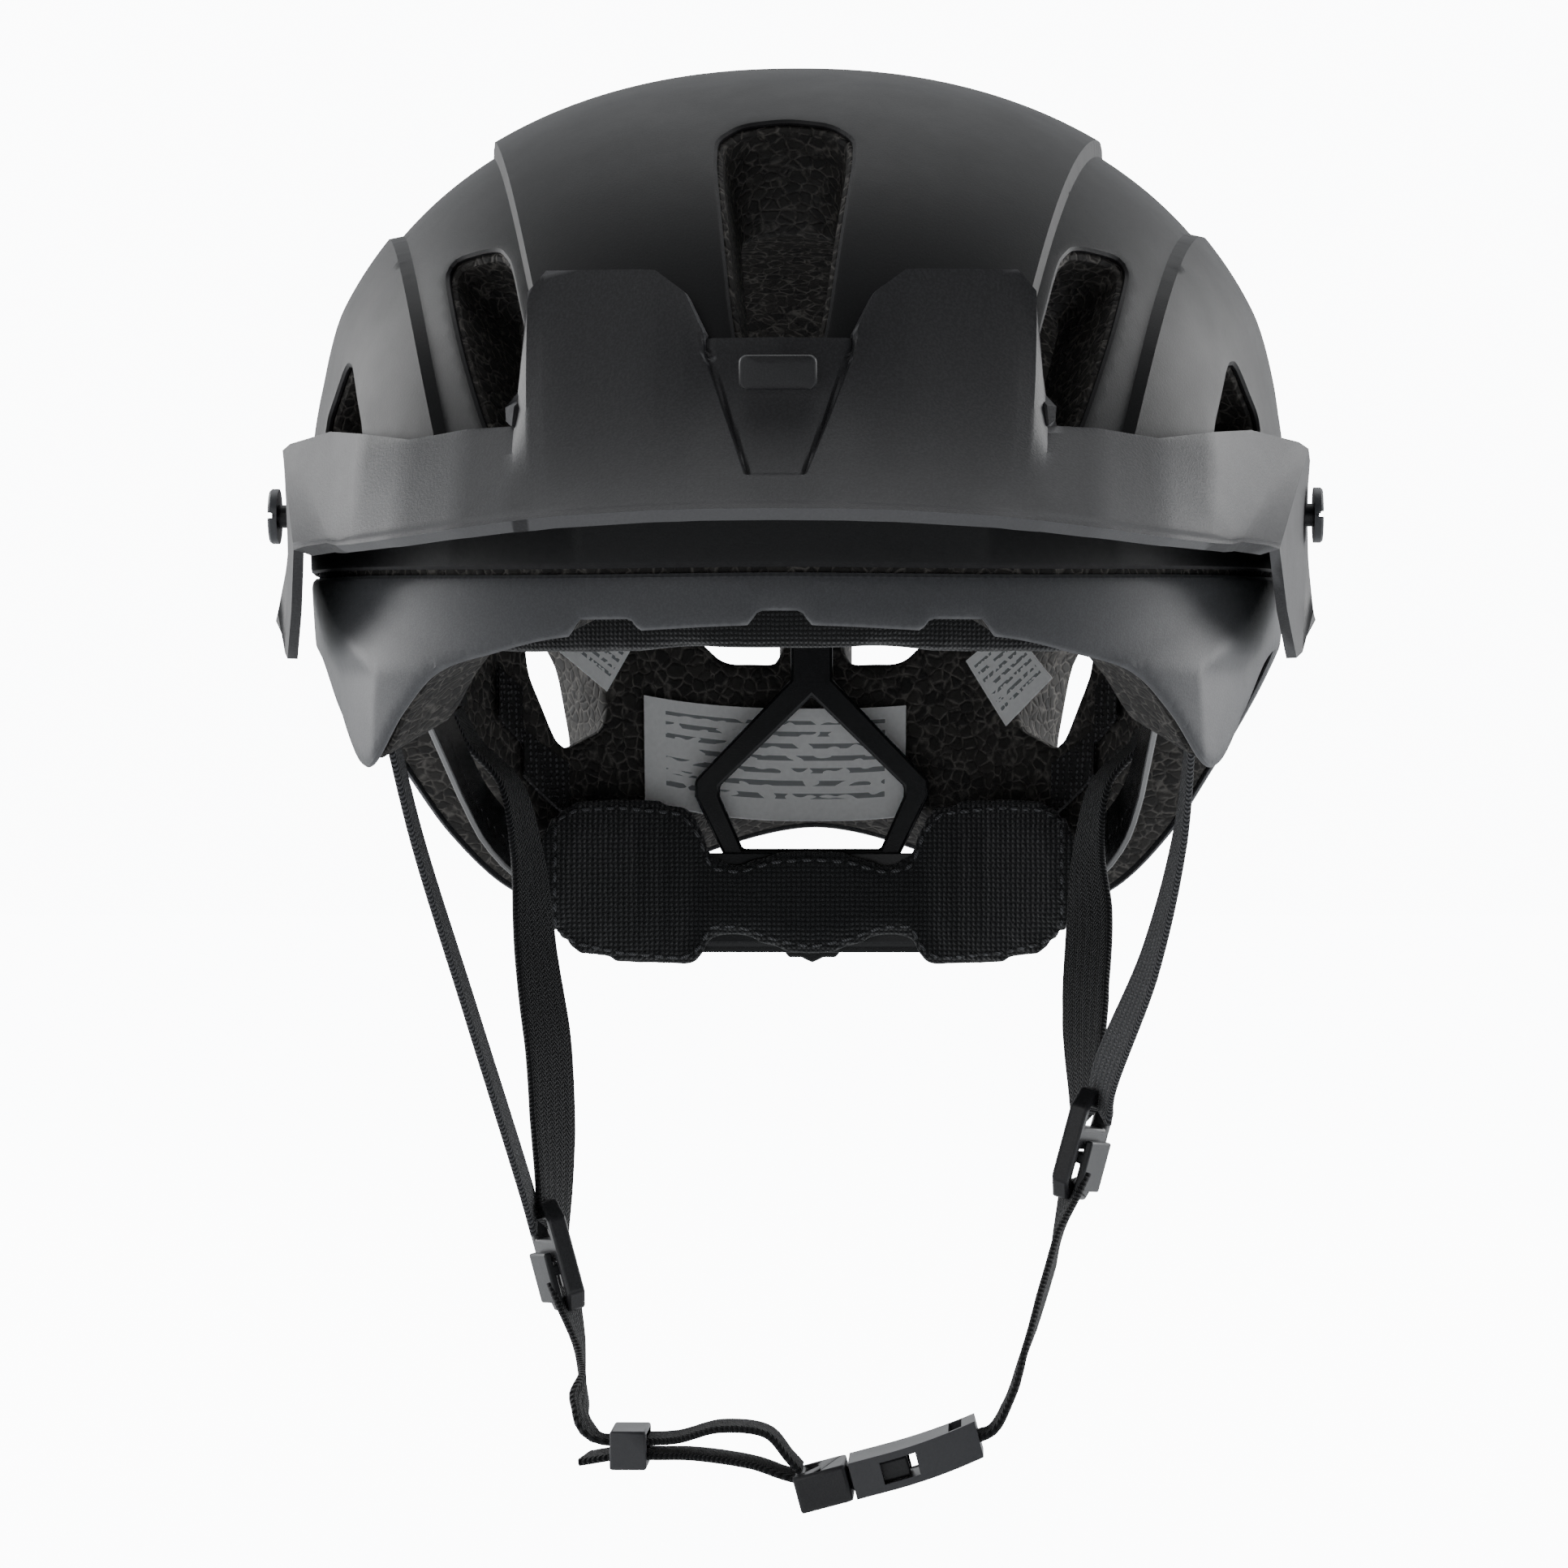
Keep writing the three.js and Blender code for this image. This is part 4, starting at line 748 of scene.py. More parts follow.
def turned(name, profile, base, axis, sides=48, body=None):
    """A solid of revolution: rings of (radius, height) from the profile round an axis from the base."""
    axis = unit(np.array(axis, float))
    helper = np.array([0.0, 0.0, 1.0]) if abs(axis[2]) < 0.9 else np.array([1.0, 0.0, 0.0])
    first = unit(np.cross(axis, helper))
    second = np.cross(axis, first)
    angle = np.linspace(0, 2 * np.pi, sides, endpoint=False)
    ring = np.cos(angle)[:, None] * first + np.sin(angle)[:, None] * second
    rings = [np.array(base) + axis * h + ring * r for r, h in profile]
    points = np.vstack(rings)
    faces = []
    for k in range(len(profile) - 1):
        a = np.arange(sides) + k * sides
        b = np.roll(np.arange(sides), -1) + k * sides
        faces += np.column_stack([a, b, b + sides, a + sides]).tolist()
    faces.append(list(range(sides))[::-1])
    faces.append([i + (len(profile) - 1) * sides for i in range(sides)])
    return new_mesh(name, points, faces, body=body, smooth_angle=30.0)


peak_points, peak_faces = closed_sheet(outer_skin, inner_skin)
peak = new_mesh("peak_blade", peak_points, peak_faces, smooth_angle=24.0)
for side in (-1.0, 1.0):
    drill = turned("drill", [(2.8, 0), (2.8, 20)], (side * 100, VISOR_PIVOT[1], VISOR_PIVOT[2]),
                   (side, 0, 0), 32)
    cut_away(peak, drill)
bevelled(peak, 0.55, 3, 50.0)
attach(peak, "visor")
peak_paint = moulded("peak_grain", "#2b2b2d", 0.5, fineness=1900.0, depth=0.00006, speckle=1.45,
                     edge_highlight_colour="#8b8b8d",
                     edge_highlight_share=0.4)
finished(peak, peak_paint, "visor", "visor")

badge_y = form_points(SHELL, np.array([0.0]), np.array([81.5]), VISOR_STANDOFF)[0, 1] - 3.6


def rounded_plate(half_x, half_z, corner, thick, lift=0.0, steps=8):
    """A plate with round corners in the X-Z plane, its outer face towards -Y, slightly crowned by lift."""
    angle = np.linspace(0, np.pi / 2, steps)
    arcs = []
    for turn, sx, sz in ((0, 1, 1), (np.pi / 2, -1, 1), (np.pi, -1, -1), (3 * np.pi / 2, 1, -1)):
        arcs.append(np.column_stack([sx * (half_x - corner) + corner * np.cos(angle + turn),
                                     sz * (half_z - corner) + corner * np.sin(angle + turn)]))
    loop = np.vstack(arcs)
    rings = []
    for share, y in ((1.0, thick / 2), (1.0, -thick / 2 + 0.35), (0.965, -thick / 2),
                     (0.9, -thick / 2 - lift * 0.4),
                     (0.5, -thick / 2 - lift)):
        rings.append(np.column_stack([loop[:, 0] * share, np.full(len(loop), y), loop[:, 1] * share]))
    count = len(loop)
    faces = []
    for k in range(len(rings) - 1):
        a = np.arange(count) + k * count
        b = np.roll(np.arange(count), -1) + k * count
        faces += np.column_stack([a, b, b + count, a + count]).tolist()
    faces.append(list(range(count))[::-1])
    faces.append([i + (len(rings) - 1) * count for i in range(count)])
    return np.vstack(rings), faces


def turn_about(points, axis, degrees):
    """Points turned about an axis through the origin."""
    axis = unit(np.array(axis, float))
    angle = math.radians(degrees)
    cross = np.cross(axis, points)
    along = (points @ axis)[:, None] * axis
    return points * math.cos(angle) + cross * math.sin(angle) + along * (1 - math.cos(angle))


badge_points, badge_faces = rounded_plate(7.7, 3.4, 1.5, 1.2, 0.25)
badge_points = turn_about(badge_points, (1, 0, 0), 8.0) + np.array([0.0, badge_y, 81.0])
badge = new_mesh("peak_badge", badge_points, badge_faces, body="visor")
badge_paint = moulded("badge_plate", "#29292b", 0.34, fineness=3200.0, depth=0.00002, edge_highlight_colour="#9a9a9c",
                      edge_highlight_share=0.5)
finished(badge, badge_paint, "visor", "visor_badge")

# ---------------------------------------------------------------------------------------------
# Peak screws. Large-headed thumb screws through the wings into threaded inserts in the foam,
# with a coin slot; blackened steel.
# ---------------------------------------------------------------------------------------------
screw_paint = moulded("blackened_screw", "#2a2b2e", 0.3, fineness=3400.0, depth=0.00002, edge_highlight_colour="#8e9094",
                      edge_highlight_share=0.6)
for label, side in (("left", -1.0), ("right", 1.0)):
    face = VISOR_SPAN + 0.3
    head = turned("head", [(2.5, -10.5), (2.5, 0), (6.0, 0.0), (6.0, 1.5), (5.6, 2.0), (4.4, 2.0),
                           (4.2, 1.6), (0.4, 1.6)],
                  (side * face, VISOR_PIVOT[1], VISOR_PIVOT[2]), (side, 0, 0), 40)
    slot_points = np.array([(x, y, z) for x in (1.0, 3.0) for y in (-7, 7) for z in (-0.6, 0.6)], float)
    slot_at = np.array([side * face, VISOR_PIVOT[1], VISOR_PIVOT[2]])
    slot_points = slot_points * np.array([side, 1, 1]) + slot_at
    slot_faces = [(0, 1, 3, 2), (4, 6, 7, 5), (0, 4, 5, 1), (2, 3, 7, 6), (0, 2, 6, 4), (1, 5, 7, 3)]
    if side < 0:
        slot_faces = [face_[::-1] for face_ in slot_faces]
    cut_away(head, new_mesh("slot", slot_points, slot_faces, smooth_angle=None))
    head.name = label + "_peak_screw"
    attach(head, "visor")
    finished(head, screw_paint, "screw", label + "_visor_screw")

# ---------------------------------------------------------------------------------------------
# Moulded pieces inside the shells: strap anchors, peak inserts, belt pins and the hanger's
# track. Black nylon, seated in pockets in the foam.
# ---------------------------------------------------------------------------------------------
nylon_paint = moulded("black_nylon", "#1d1e20", 0.38, fineness=2600.0, depth=0.00003, edge_highlight_colour="#55575a",
                      edge_highlight_share=0.4)
gloss_paint = moulded("gloss_black_plastic", "#141517", 0.2, fineness=3000.0, depth=0.00001, edge_highlight_colour="#4c4e52",
                      edge_highlight_share=0.35)


def from_node(node_name, piece_name, paint, slot_name, edge=0.35, body="helmet", segments=2):
    """A copy of a CAD piece with its flat faces kept and its edges rounded."""
    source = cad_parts[node_name]
    mesh = source.data.copy()
    mesh.materials.clear()
    for layer in list(mesh.uv_layers):
        mesh.uv_layers.remove(layer)
    welded = bmesh.new()
    welded.from_mesh(mesh)
    bmesh.ops.remove_doubles(welded, verts=welded.verts, dist=1e-6)
    bmesh.ops.dissolve_limit(welded, angle_limit=math.radians(1.0), verts=welded.verts, edges=welded.edges)
    welded.to_mesh(mesh)
    welded.free()
    mesh.polygons.foreach_set("use_smooth", np.ones(len(mesh.polygons), bool))
    mesh.set_sharp_from_angle(angle=math.radians(30.0))
    piece = bpy.data.objects.new(piece_name, mesh)
    bpy.context.scene.collection.objects.link(piece)
    if edge:
        bevelled(piece, edge, segments, 30.0)
    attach(piece, body)
    return finished(piece, paint, slot_name, node_name)


for side in ("left", "right"):
    from_node(side + "_front_strap_anchor", side + "_front_anchor_block", nylon_paint, "moulded_hardware",
              0.5)
    from_node(side + "_rear_strap_anchor", side + "_rear_anchor_block", nylon_paint, "moulded_hardware", 0.5)
    from_node(side + "_visor_insert", side + "_peak_insert", nylon_paint, "moulded_hardware", 0.3)
    from_node(side + "_belt_pin", side + "_temple_pin", nylon_paint, "moulded_hardware", 0.3)
from_node("hanger_track", "track_rails", gloss_paint, "gloss_black", 0.5)

# ---------------------------------------------------------------------------------------------
# Comfort pads. Soft foam wrapped in brushed black knit and held by hook patches: a brow pad that
# follows the front of the liner and two long crown pads.
# ---------------------------------------------------------------------------------------------
PAD_THICKNESS = 6.0
PAD_GAP = 1.5
knit_group, knit_in, knit_out = start_group("knit_loops",
                                            [("Vector", "v"), ("Stitches", "f"), ("Depth", "f")],
                                            [("Tone", "f"), ("Normal", "v")])
stitch = node(knit_group, "ShaderNodeMapping", Vector=knit_in.outputs["Vector"], Scale=(1.0, 1.0, 1.0))
loops_a = node(knit_group, "ShaderNodeTexWave", {"wave_type": "BANDS", "bands_direction": "X",
               "wave_profile": "SIN"}, Vector=stitch.outputs[0], Scale=knit_in.outputs["Stitches"],
               Distortion=1.4,
               Detail=1.0)
loops_b = node(knit_group, "ShaderNodeTexWave", {"wave_type": "BANDS", "bands_direction": "Z",
               "wave_profile": "SIN"}, Vector=stitch.outputs[0], Scale=knit_in.outputs["Stitches"],
               Distortion=1.4,
               Detail=1.0)
fuzz = node(knit_group, "ShaderNodeTexNoise", Vector=knit_in.outputs["Vector"], Scale=1500.0, Detail=3.0)
crossed = node(knit_group, "ShaderNodeMath", {"operation": "MULTIPLY"}, i0=loops_a.outputs["Fac"],
               i1=loops_b.outputs["Fac"])
woolly = node(knit_group, "ShaderNodeMath", {"operation": "MULTIPLY_ADD"}, i0=fuzz.outputs["Fac"], i1=0.7,
              i2=crossed.outputs[0])
knit_bump = node(knit_group, "ShaderNodeBump", Strength=1.0, Distance=knit_in.outputs["Depth"],
                 Height=woolly.outputs[0])
knit_group.links.new(woolly.outputs[0], knit_out.inputs["Tone"])
knit_group.links.new(knit_bump.outputs[0], knit_out.inputs["Normal"])


def knitted(name, low, high, stitches, depth, sheen=0.35):
    """Knit cloth: dark loops with paler fibre tips and a soft sheen."""
    made, tree, shader = blank_material(name)
    where = node(tree, "ShaderNodeTexCoord")
    knit = node(tree, "ShaderNodeGroup", {"node_tree": knit_group}, Vector=where.outputs["Object"],
                Stitches=stitches, Depth=depth)
    share = node(tree, "ShaderNodeMapRange", Value=knit.outputs["Tone"], From_Min=0.2, From_Max=1.3)
    mix = node(tree, "ShaderNodeMix", {"data_type": "RGBA"}, Factor=share.outputs[0])
    mix.inputs[6].default_value = srgb(low)
    mix.inputs[7].default_value = srgb(high)
    tree.links.new(mix.outputs[2], shader.inputs["Base Color"])
    tree.links.new(knit.outputs["Normal"], shader.inputs["Normal"])
    shader.inputs["Roughness"].default_value = 0.95
    shader.inputs["Specular IOR Level"].default_value = 0.2
    shader.inputs["Sheen Weight"].default_value = sheen
    shader.inputs["Sheen Roughness"].default_value = 0.6
    return made


pad_paint = knitted("brushed_knit", "#08090a", "#26272a", 330.0, 0.0004)


def cushion(name, outer, inner, body, node_name, slot_name="knit_pad", voxel=4.0, most=1.4):
    """A stuffed pad: the closed net is remeshed, blown up as cloth, and held near its cut shape."""
    points, faces = closed_sheet(outer, inner)
    piece = new_mesh(name, points, faces, smooth_angle=None)
    remesh = piece.modifiers.new("remesh", "REMESH")
    remesh.mode = "VOXEL"
    remesh.voxel_size = voxel * MM
    bpy.context.view_layer.objects.active = piece
    bpy.ops.object.modifier_apply(modifier=remesh.name)
    count = len(piece.data.vertices)
    before = np.empty(count * 3)
    piece.data.vertices.foreach_get("co", before)
    cloth = piece.modifiers.new("cloth", "CLOTH")
    cloth.settings.use_pressure = True
    cloth.settings.uniform_pressure_force = 4.0
    cloth.settings.quality = 6
    cloth.settings.mass = 0.2
    cloth.settings.tension_stiffness = 25.0
    cloth.settings.compression_stiffness = 25.0
    cloth.settings.effector_weights.gravity = 0.0
    for moment in range(1, 21):
        bpy.context.scene.frame_set(moment)
    shape = piece.evaluated_get(bpy.context.evaluated_depsgraph_get()).data
    after = np.empty(count * 3)
    shape.vertices.foreach_get("co", after)
    piece.modifiers.remove(cloth)
    bpy.context.scene.frame_set(1)
    move = (after - before).reshape(-1, 3)
    far = np.maximum(np.linalg.norm(move, axis=1, keepdims=True), 1e-9)
    move *= np.minimum(1.0, most * MM / far)
    piece.data.vertices.foreach_set("co", (before.reshape(-1, 3) + move).ravel())
    piece.data.update()
    piece.data.polygons.foreach_set("use_smooth", np.ones(len(piece.data.polygons), bool))
    soften = piece.modifiers.new("soften", "SUBSURF")
    soften.levels = 1
    soften.render_levels = 1
    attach(piece, body)
    finished(piece, pad_paint, slot_name, node_name)
    return piece


def cavity_net(xs, turns, depth):
    """Points on the liner's wall, moved towards the head by depth; turns is a table for each x."""
    return np.stack([form_points(CAVITY, np.full(len(row), x), row, -depth) for x, row in zip(xs, turns)])


brow_x = np.linspace(-70.0, 70.0, 45)
brow_turns = np.stack([np.linspace(86.0, 108.0 + 6.0 * (x / 70.0) ** 2, 12) for x in brow_x])
cushion("brow_cushion", cavity_net(brow_x, brow_turns, PAD_GAP), cavity_net(brow_x, brow_turns,
        PAD_GAP + PAD_THICKNESS), "helmet", "brow_pad", most=1.0)
for side, label in ((-1, "left"), (1, "right")):
    crown_x = np.linspace(22.0, 40.0, 8) * side
    crown_turns = np.tile(np.linspace(-50.0, 50.0, 40), (8, 1))
    cushion(label + "_crown_cushion", cavity_net(crown_x, crown_turns, PAD_GAP),
            cavity_net(crown_x, crown_turns, PAD_GAP + PAD_THICKNESS), "helmet", label + "_crown_pad",
            most=1.0)

# ---------------------------------------------------------------------------------------------
# Linings. Dotted hook patches glued to the liner, and three paper labels with plain grey bars
# where the print would be.
# ---------------------------------------------------------------------------------------------
hook_paint, tree, shader = blank_material("hook_dots")
where = node(tree, "ShaderNodeTexCoord")
dots = node(tree, "ShaderNodeTexVoronoi", {"feature": "F1"}, Vector=where.outputs["Object"], Scale=700.0,
            Randomness=0.15)
dot = node(tree, "ShaderNodeMapRange", Value=dots.outputs["Distance"], From_Min=0.28, From_Max=0.42,
           To_Min=1.0,
           To_Max=0.0)
mix = node(tree, "ShaderNodeMix", {"data_type": "RGBA"}, Factor=dot.outputs[0])
mix.inputs[6].default_value = srgb("#0b0b0c")
mix.inputs[7].default_value = srgb("#4a4b4d")
bump = node(tree, "ShaderNodeBump", Strength=1.0, Distance=0.0006, Height=dot.outputs[0])
tree.links.new(mix.outputs[2], shader.inputs["Base Color"])
tree.links.new(bump.outputs[0], shader.inputs["Normal"])
shader.inputs["Roughness"].default_value = 0.5


def patch_net(x, turn, half_width, half_turn, depth, tilt=0.0, wide=25, tall=9):
    """A patch of the liner's wall about a place, at a depth off the wall, tilted by degrees."""
    lean = math.radians(tilt)
    a, b = np.meshgrid(np.linspace(-half_width, half_width, wide), np.linspace(-half_turn, half_turn, tall))
    xs = x + a * math.cos(lean) - b * 1.7 * math.sin(lean)
    turns = turn + a / 1.7 * math.sin(lean) + b * math.cos(lean)
    return np.stack([form_points(CAVITY, row_x, row_t, -depth) for row_x, row_t in zip(xs, turns)])


for label, side in (("left", -1), ("right", 1)):
    for end, x, turn, half_width, half_turn in (("front", 71.5, -122, 2.5, 4), ("rear", 64, -127, 5, 3)):
        points, faces = closed_sheet(patch_net(side * x, turn, half_width, half_turn, 1.2),
                                     patch_net(side * x, turn, half_width, half_turn, 2.0))
        patch = new_mesh(f"{label}_{end}_hook_dots", points, faces, body="helmet")
        finished(patch, hook_paint, "hook_patch", f"{label}_{end}_hook_patch")

label_paint, tree, shader = blank_material("paper_label")
chart = node(tree, "ShaderNodeUVMap", {"uv_map": "print"})
spread = node(tree, "ShaderNodeSeparateXYZ", Vector=chart.outputs[0])
lines = node(tree, "ShaderNodeMath", {"operation": "FRACT"},
             i0=node(tree, "ShaderNodeMath", {"operation": "MULTIPLY"}, i0=spread.outputs[1],
                     i1=9.0).outputs[0])
bars = node(tree, "ShaderNodeMath", {"operation": "LESS_THAN"}, i0=lines.outputs[0], i1=0.4)
side_in = node(tree, "ShaderNodeMath", {"operation": "COMPARE"}, i0=spread.outputs[0], i1=0.5, i2=0.42)
up_in = node(tree, "ShaderNodeMath", {"operation": "COMPARE"}, i0=spread.outputs[1], i1=0.5, i2=0.38)
framed = node(tree, "ShaderNodeMath", {"operation": "MULTIPLY"}, i0=side_in.outputs[0], i1=up_in.outputs[0])
broken = node(tree, "ShaderNodeTexNoise", {"noise_dimensions": "2D"}, Vector=chart.outputs[0], Scale=14.0,
              Detail=0.0)
words = node(tree, "ShaderNodeMath", {"operation": "GREATER_THAN"}, i0=broken.outputs["Fac"], i1=0.45)
ink = node(tree, "ShaderNodeMath", {"operation": "MULTIPLY"}, i0=bars.outputs[0], i1=framed.outputs[0])
ink = node(tree, "ShaderNodeMath", {"operation": "MULTIPLY"}, i0=ink.outputs[0], i1=words.outputs[0])
paper = node(tree, "ShaderNodeTexNoise", Vector=node(tree, "ShaderNodeTexCoord").outputs["Object"],
             Scale=900.0)
shade = node(tree, "ShaderNodeMapRange", Value=paper.outputs["Fac"], To_Min=0.80, To_Max=0.92)
paper_mix = node(tree, "ShaderNodeMix", {"data_type": "RGBA"}, Factor=ink.outputs[0])
tree.links.new(shade.outputs[0], paper_mix.inputs[6])
paper_mix.inputs[7].default_value = srgb("#8d8f92")
tree.links.new(paper_mix.outputs[2], shader.inputs["Base Color"])
shader.inputs["Roughness"].default_value = 0.45


def chart_net(piece, rows, columns, name="print"):
    """A UV chart for a closed sheet: u runs along its columns and v up its rows, on both faces."""
    layer = piece.data.uv_layers.new(name=name)
    index = np.empty(len(piece.data.loops), int)
    piece.data.loops.foreach_get("vertex_index", index)
    index = index % (rows * columns)
    chart = np.column_stack([(index % columns) / (columns - 1), 1.0 - (index // columns) / (rows - 1)])
    layer.data.foreach_set("uv", chart.ravel())


for node_name, x, turn, half_width, half_turn, tilt in (("rear_label", -9, -118, 32, 6, 0),
                                                        ("left_label", -51, -106, 6.5, 5.5, -28),
                                                        ("right_label", 48, -110, 6.5, 5.5, 32)):
    points, faces = closed_sheet(patch_net(x, turn, half_width, half_turn, 1.2, tilt),
                                 patch_net(x, turn, half_width, half_turn, 1.5, tilt))
    paper_label = new_mesh(node_name + "_paper", points, faces, body="helmet")
    chart_net(paper_label, 9, 25)
    finished(paper_label, label_paint, "label", node_name)

# ---------------------------------------------------------------------------------------------
# Fit cradle. A glossy moulded frame behind the head with a ribbed knit pad stitched round its
# edge, a dial that draws in two toothed racks, belts to the temples and a hanger for its height.
# ---------------------------------------------------------------------------------------------
CRADLE_FACE = 96.0
CRADLE_HALF = np.array([[0, -41.2, -15.5], [2, -41, -15.5], [9, -39.5, -16], [17, -36.5, -18.5],
                        [24, -36.5, -17.5],
                        [27, -42.5, -9], [31, -44, -4.5], [45, -42.5, -3], [55, -40, -3.5], [60, -36, -6.5],
                        [62, -31, -12]], float)


def cradle_y(x):
    """The cradle's front face: flat in the middle, then forward by 26 times the 1.5 power of the share out."""
    return CRADLE_FACE - 26.0 * (np.maximum(0.0, np.abs(x) - 26.0) / 36.0) ** 1.5


def cradle_net(front, columns=81, rows=15, inset=0.0):
    """Points over the cradle pad's outline, from its upper to its lower edge, front being an offset in Y."""
    x = np.linspace(-62.0 + inset, 62.0 - inset, columns)
    low = np.interp(np.abs(x), CRADLE_HALF[:, 0], CRADLE_HALF[:, 1]) + inset
    high = np.interp(np.abs(x), CRADLE_HALF[:, 0], CRADLE_HALF[:, 2]) - inset
    share = np.linspace(0.0, 1.0, rows)[:, None]
    z = high * (1 - share) + low * share
    return np.stack([np.broadcast_to(x, z.shape), np.broadcast_to(cradle_y(x) + front, z.shape), z], axis=2)


ribbed_paint = knitted("ribbed_mesh_knit", "#07080a", "#292b2e", 270.0, 0.0005, 0.25)
pad_paint = ribbed_paint
cradle_cushion = cushion("cradle_cushion", cradle_net(-4.2), cradle_net(-0.2), "cradle", "cradle_pad",
                         voxel=2.0,
                         most=1.1)


def stitched(name, line, normals, paint, slot_name, body, length=2.4, gap=1.2, thick=0.45):
    """A row of raised thread stitches along a line, each a small six-sided bead flattened on the surface."""
    lengths = np.r_[0.0, np.cumsum(np.linalg.norm(np.diff(line, axis=0), axis=1))]
    starts = np.arange(gap, lengths[-1] - length, length + gap)
    at = lambda where: np.column_stack([np.interp(where, lengths, line[:, k]) for k in range(3)])
    first, last = at(starts), at(starts + length)
    up = unit(np.column_stack([np.interp(starts + length / 2, lengths, normals[:, k]) for k in range(3)]))
    way = unit(last - first)
    side = np.cross(way, up)
    points, faces = [], []
    angle = np.linspace(0, 2 * np.pi, 6, endpoint=False)
    shape = np.cos(angle)[:, None, None] * side[None] + np.sin(angle)[:, None, None] * up[None] * 0.8
    for share, size in ((0.0, 0.25), (0.18, 0.9), (0.5, 1.0), (0.82, 0.9), (1.0, 0.25)):
        points.append((first + (last - first) * share)[None] + shape * thick * size)
    points = np.stack(points)  # ring, corner, stitch, axis
    count = len(starts)
    index = np.arange(5 * 6 * count).reshape(5, 6, count)
    for ring in range(4):
        for corner in range(6):
            after = (corner + 1) % 6
            faces.append(np.column_stack([index[ring, corner], index[ring + 1, corner],
                                          index[ring + 1, after],
                                          index[ring, after]]))
    caps = [tuple(index[0, :, k]) for k in range(count)] + [tuple(index[4, ::-1, k]) for k in range(count)]
    everything = np.vstack(faces).tolist() + caps
    piece = new_mesh(name, points.reshape(-1, 3), everything, body=body)
    return finished(piece, paint, slot_name)


def laid_on(piece, points, direction, lift=0.1):
    """Points dropped onto the piece's surface along a direction, and the surface's normals there."""
    tree_of = BVHTree.FromObject(piece, bpy.context.evaluated_depsgraph_get())
    found, normals = [], []
    for point in points:
        hit, normal, _, _ = tree_of.ray_cast(Vector((point - direction * 20.0) * MM), Vector(direction), 0.06)
        if hit is not None:
            found.append(np.array(hit) / MM + np.array(normal) * lift)
            normals.append(np.array(normal))
    return np.array(found), np.array(normals)


thread_paint, tree, shader = blank_material("stitch_thread")
where = node(tree, "ShaderNodeTexCoord")
twist = node(tree, "ShaderNodeTexWave", {"bands_direction": "DIAGONAL"}, Vector=where.outputs["Object"],
             Scale=900.0)
mix = node(tree, "ShaderNodeMix", {"data_type": "RGBA"}, Factor=twist.outputs["Fac"])
mix.inputs[6].default_value = srgb("#1b1c1e")
mix.inputs[7].default_value = srgb("#66676a")
tree.links.new(mix.outputs[2], shader.inputs["Base Color"])
shader.inputs["Roughness"].default_value = 0.7

border = cradle_net(-4.2, inset=2.6)
hem = np.vstack([border[0], border[1:, -1], border[-1, ::-1][1:], border[::-1, 0][1:]])
hem_line, hem_normals = laid_on(cradle_cushion, hem, np.array([0.0, 1.0, 0.0]))
stitched("cradle_hem_stitches", hem_line, hem_normals, thread_paint, "knit_pad", "cradle")

from_node("cradle_frame", "cradle_back_frame", gloss_paint, "gloss_black", 0.4, "cradle")
from_node("dial_cover", "dial_back_cover", gloss_paint, "gloss_black", 0.35, "cradle")
from_node("hanger", "height_hanger", gloss_paint, "gloss_black", 0.7, "cradle", 3)
dial_paint = moulded("soft_dial_rubber", "#1a1b1c", 0.55, fineness=1500.0, depth=0.00008, edge_highlight_colour="#4a4b4d",
                     edge_highlight_share=0.4)
from_node("dial_knob", "dial_grip", dial_paint, "gloss_black", 0.45, "dial")
from_node("dial_pinion", "dial_gear", nylon_paint, "gloss_black", 0.2, "dial")
for side in ("left", "right"):
    from_node(side + "_rack", side + "_rack_bar", nylon_paint, "gloss_black", 0.2, side + "_rack")

belt_paint, tree, shader = blank_material("punched_belt")
where = node(tree, "ShaderNodeTexCoord")
spread = node(tree, "ShaderNodeSeparateXYZ", Vector=where.outputs["Object"])
rise = node(tree, "ShaderNodeMath", {"operation": "MULTIPLY_ADD"}, i0=spread.outputs[1], i1=0.31,
            i2=spread.outputs[2])
height = node(tree, "ShaderNodeMath", {"operation": "SUBTRACT"}, i0=rise.outputs[0], i1=0.0028)
along = node(tree, "ShaderNodeMath", {"operation": "PINGPONG"}, i0=spread.outputs[1], i1=0.0032)
off = node(tree, "ShaderNodeCombineXYZ", X=along.outputs[0], Y=height.outputs[0])
dots = node(tree, "ShaderNodeVectorMath", {"operation": "LENGTH"}, i0=off.outputs[0])
dot = node(tree, "ShaderNodeMapRange", Value=dots.outputs["Value"], From_Min=0.0011, From_Max=0.0014,
           To_Min=1.0,
           To_Max=0.0)
grain = node(tree, "ShaderNodeGroup", {"node_tree": grain_group}, Fineness=3000.0, Depth=0.00001)
# The row of near-black dots is painted shade inside the punched dimples.
mix = node(tree, "ShaderNodeMix", {"data_type": "RGBA"}, Factor=dot.outputs[0])
mix.inputs[6].default_value = srgb("#141517")
mix.inputs[7].default_value = srgb("#030303")
bump = node(tree, "ShaderNodeBump", {"invert": True}, Strength=1.0, Distance=0.0008, Height=dot.outputs[0],
            Normal=grain.outputs["Normal"])
tree.links.new(mix.outputs[2], shader.inputs["Base Color"])
tree.links.new(bump.outputs[0], shader.inputs["Normal"])
gloss = node(tree, "ShaderNodeMapRange", Value=grain.outputs["Marks"], To_Min=0.16, To_Max=0.3)
tree.links.new(gloss.outputs[0], shader.inputs["Roughness"])
for side in ("left", "right"):
    from_node(side + "_fit_belt", side + "_belt_strip", belt_paint, "gloss_black", 0.4, "cradle")

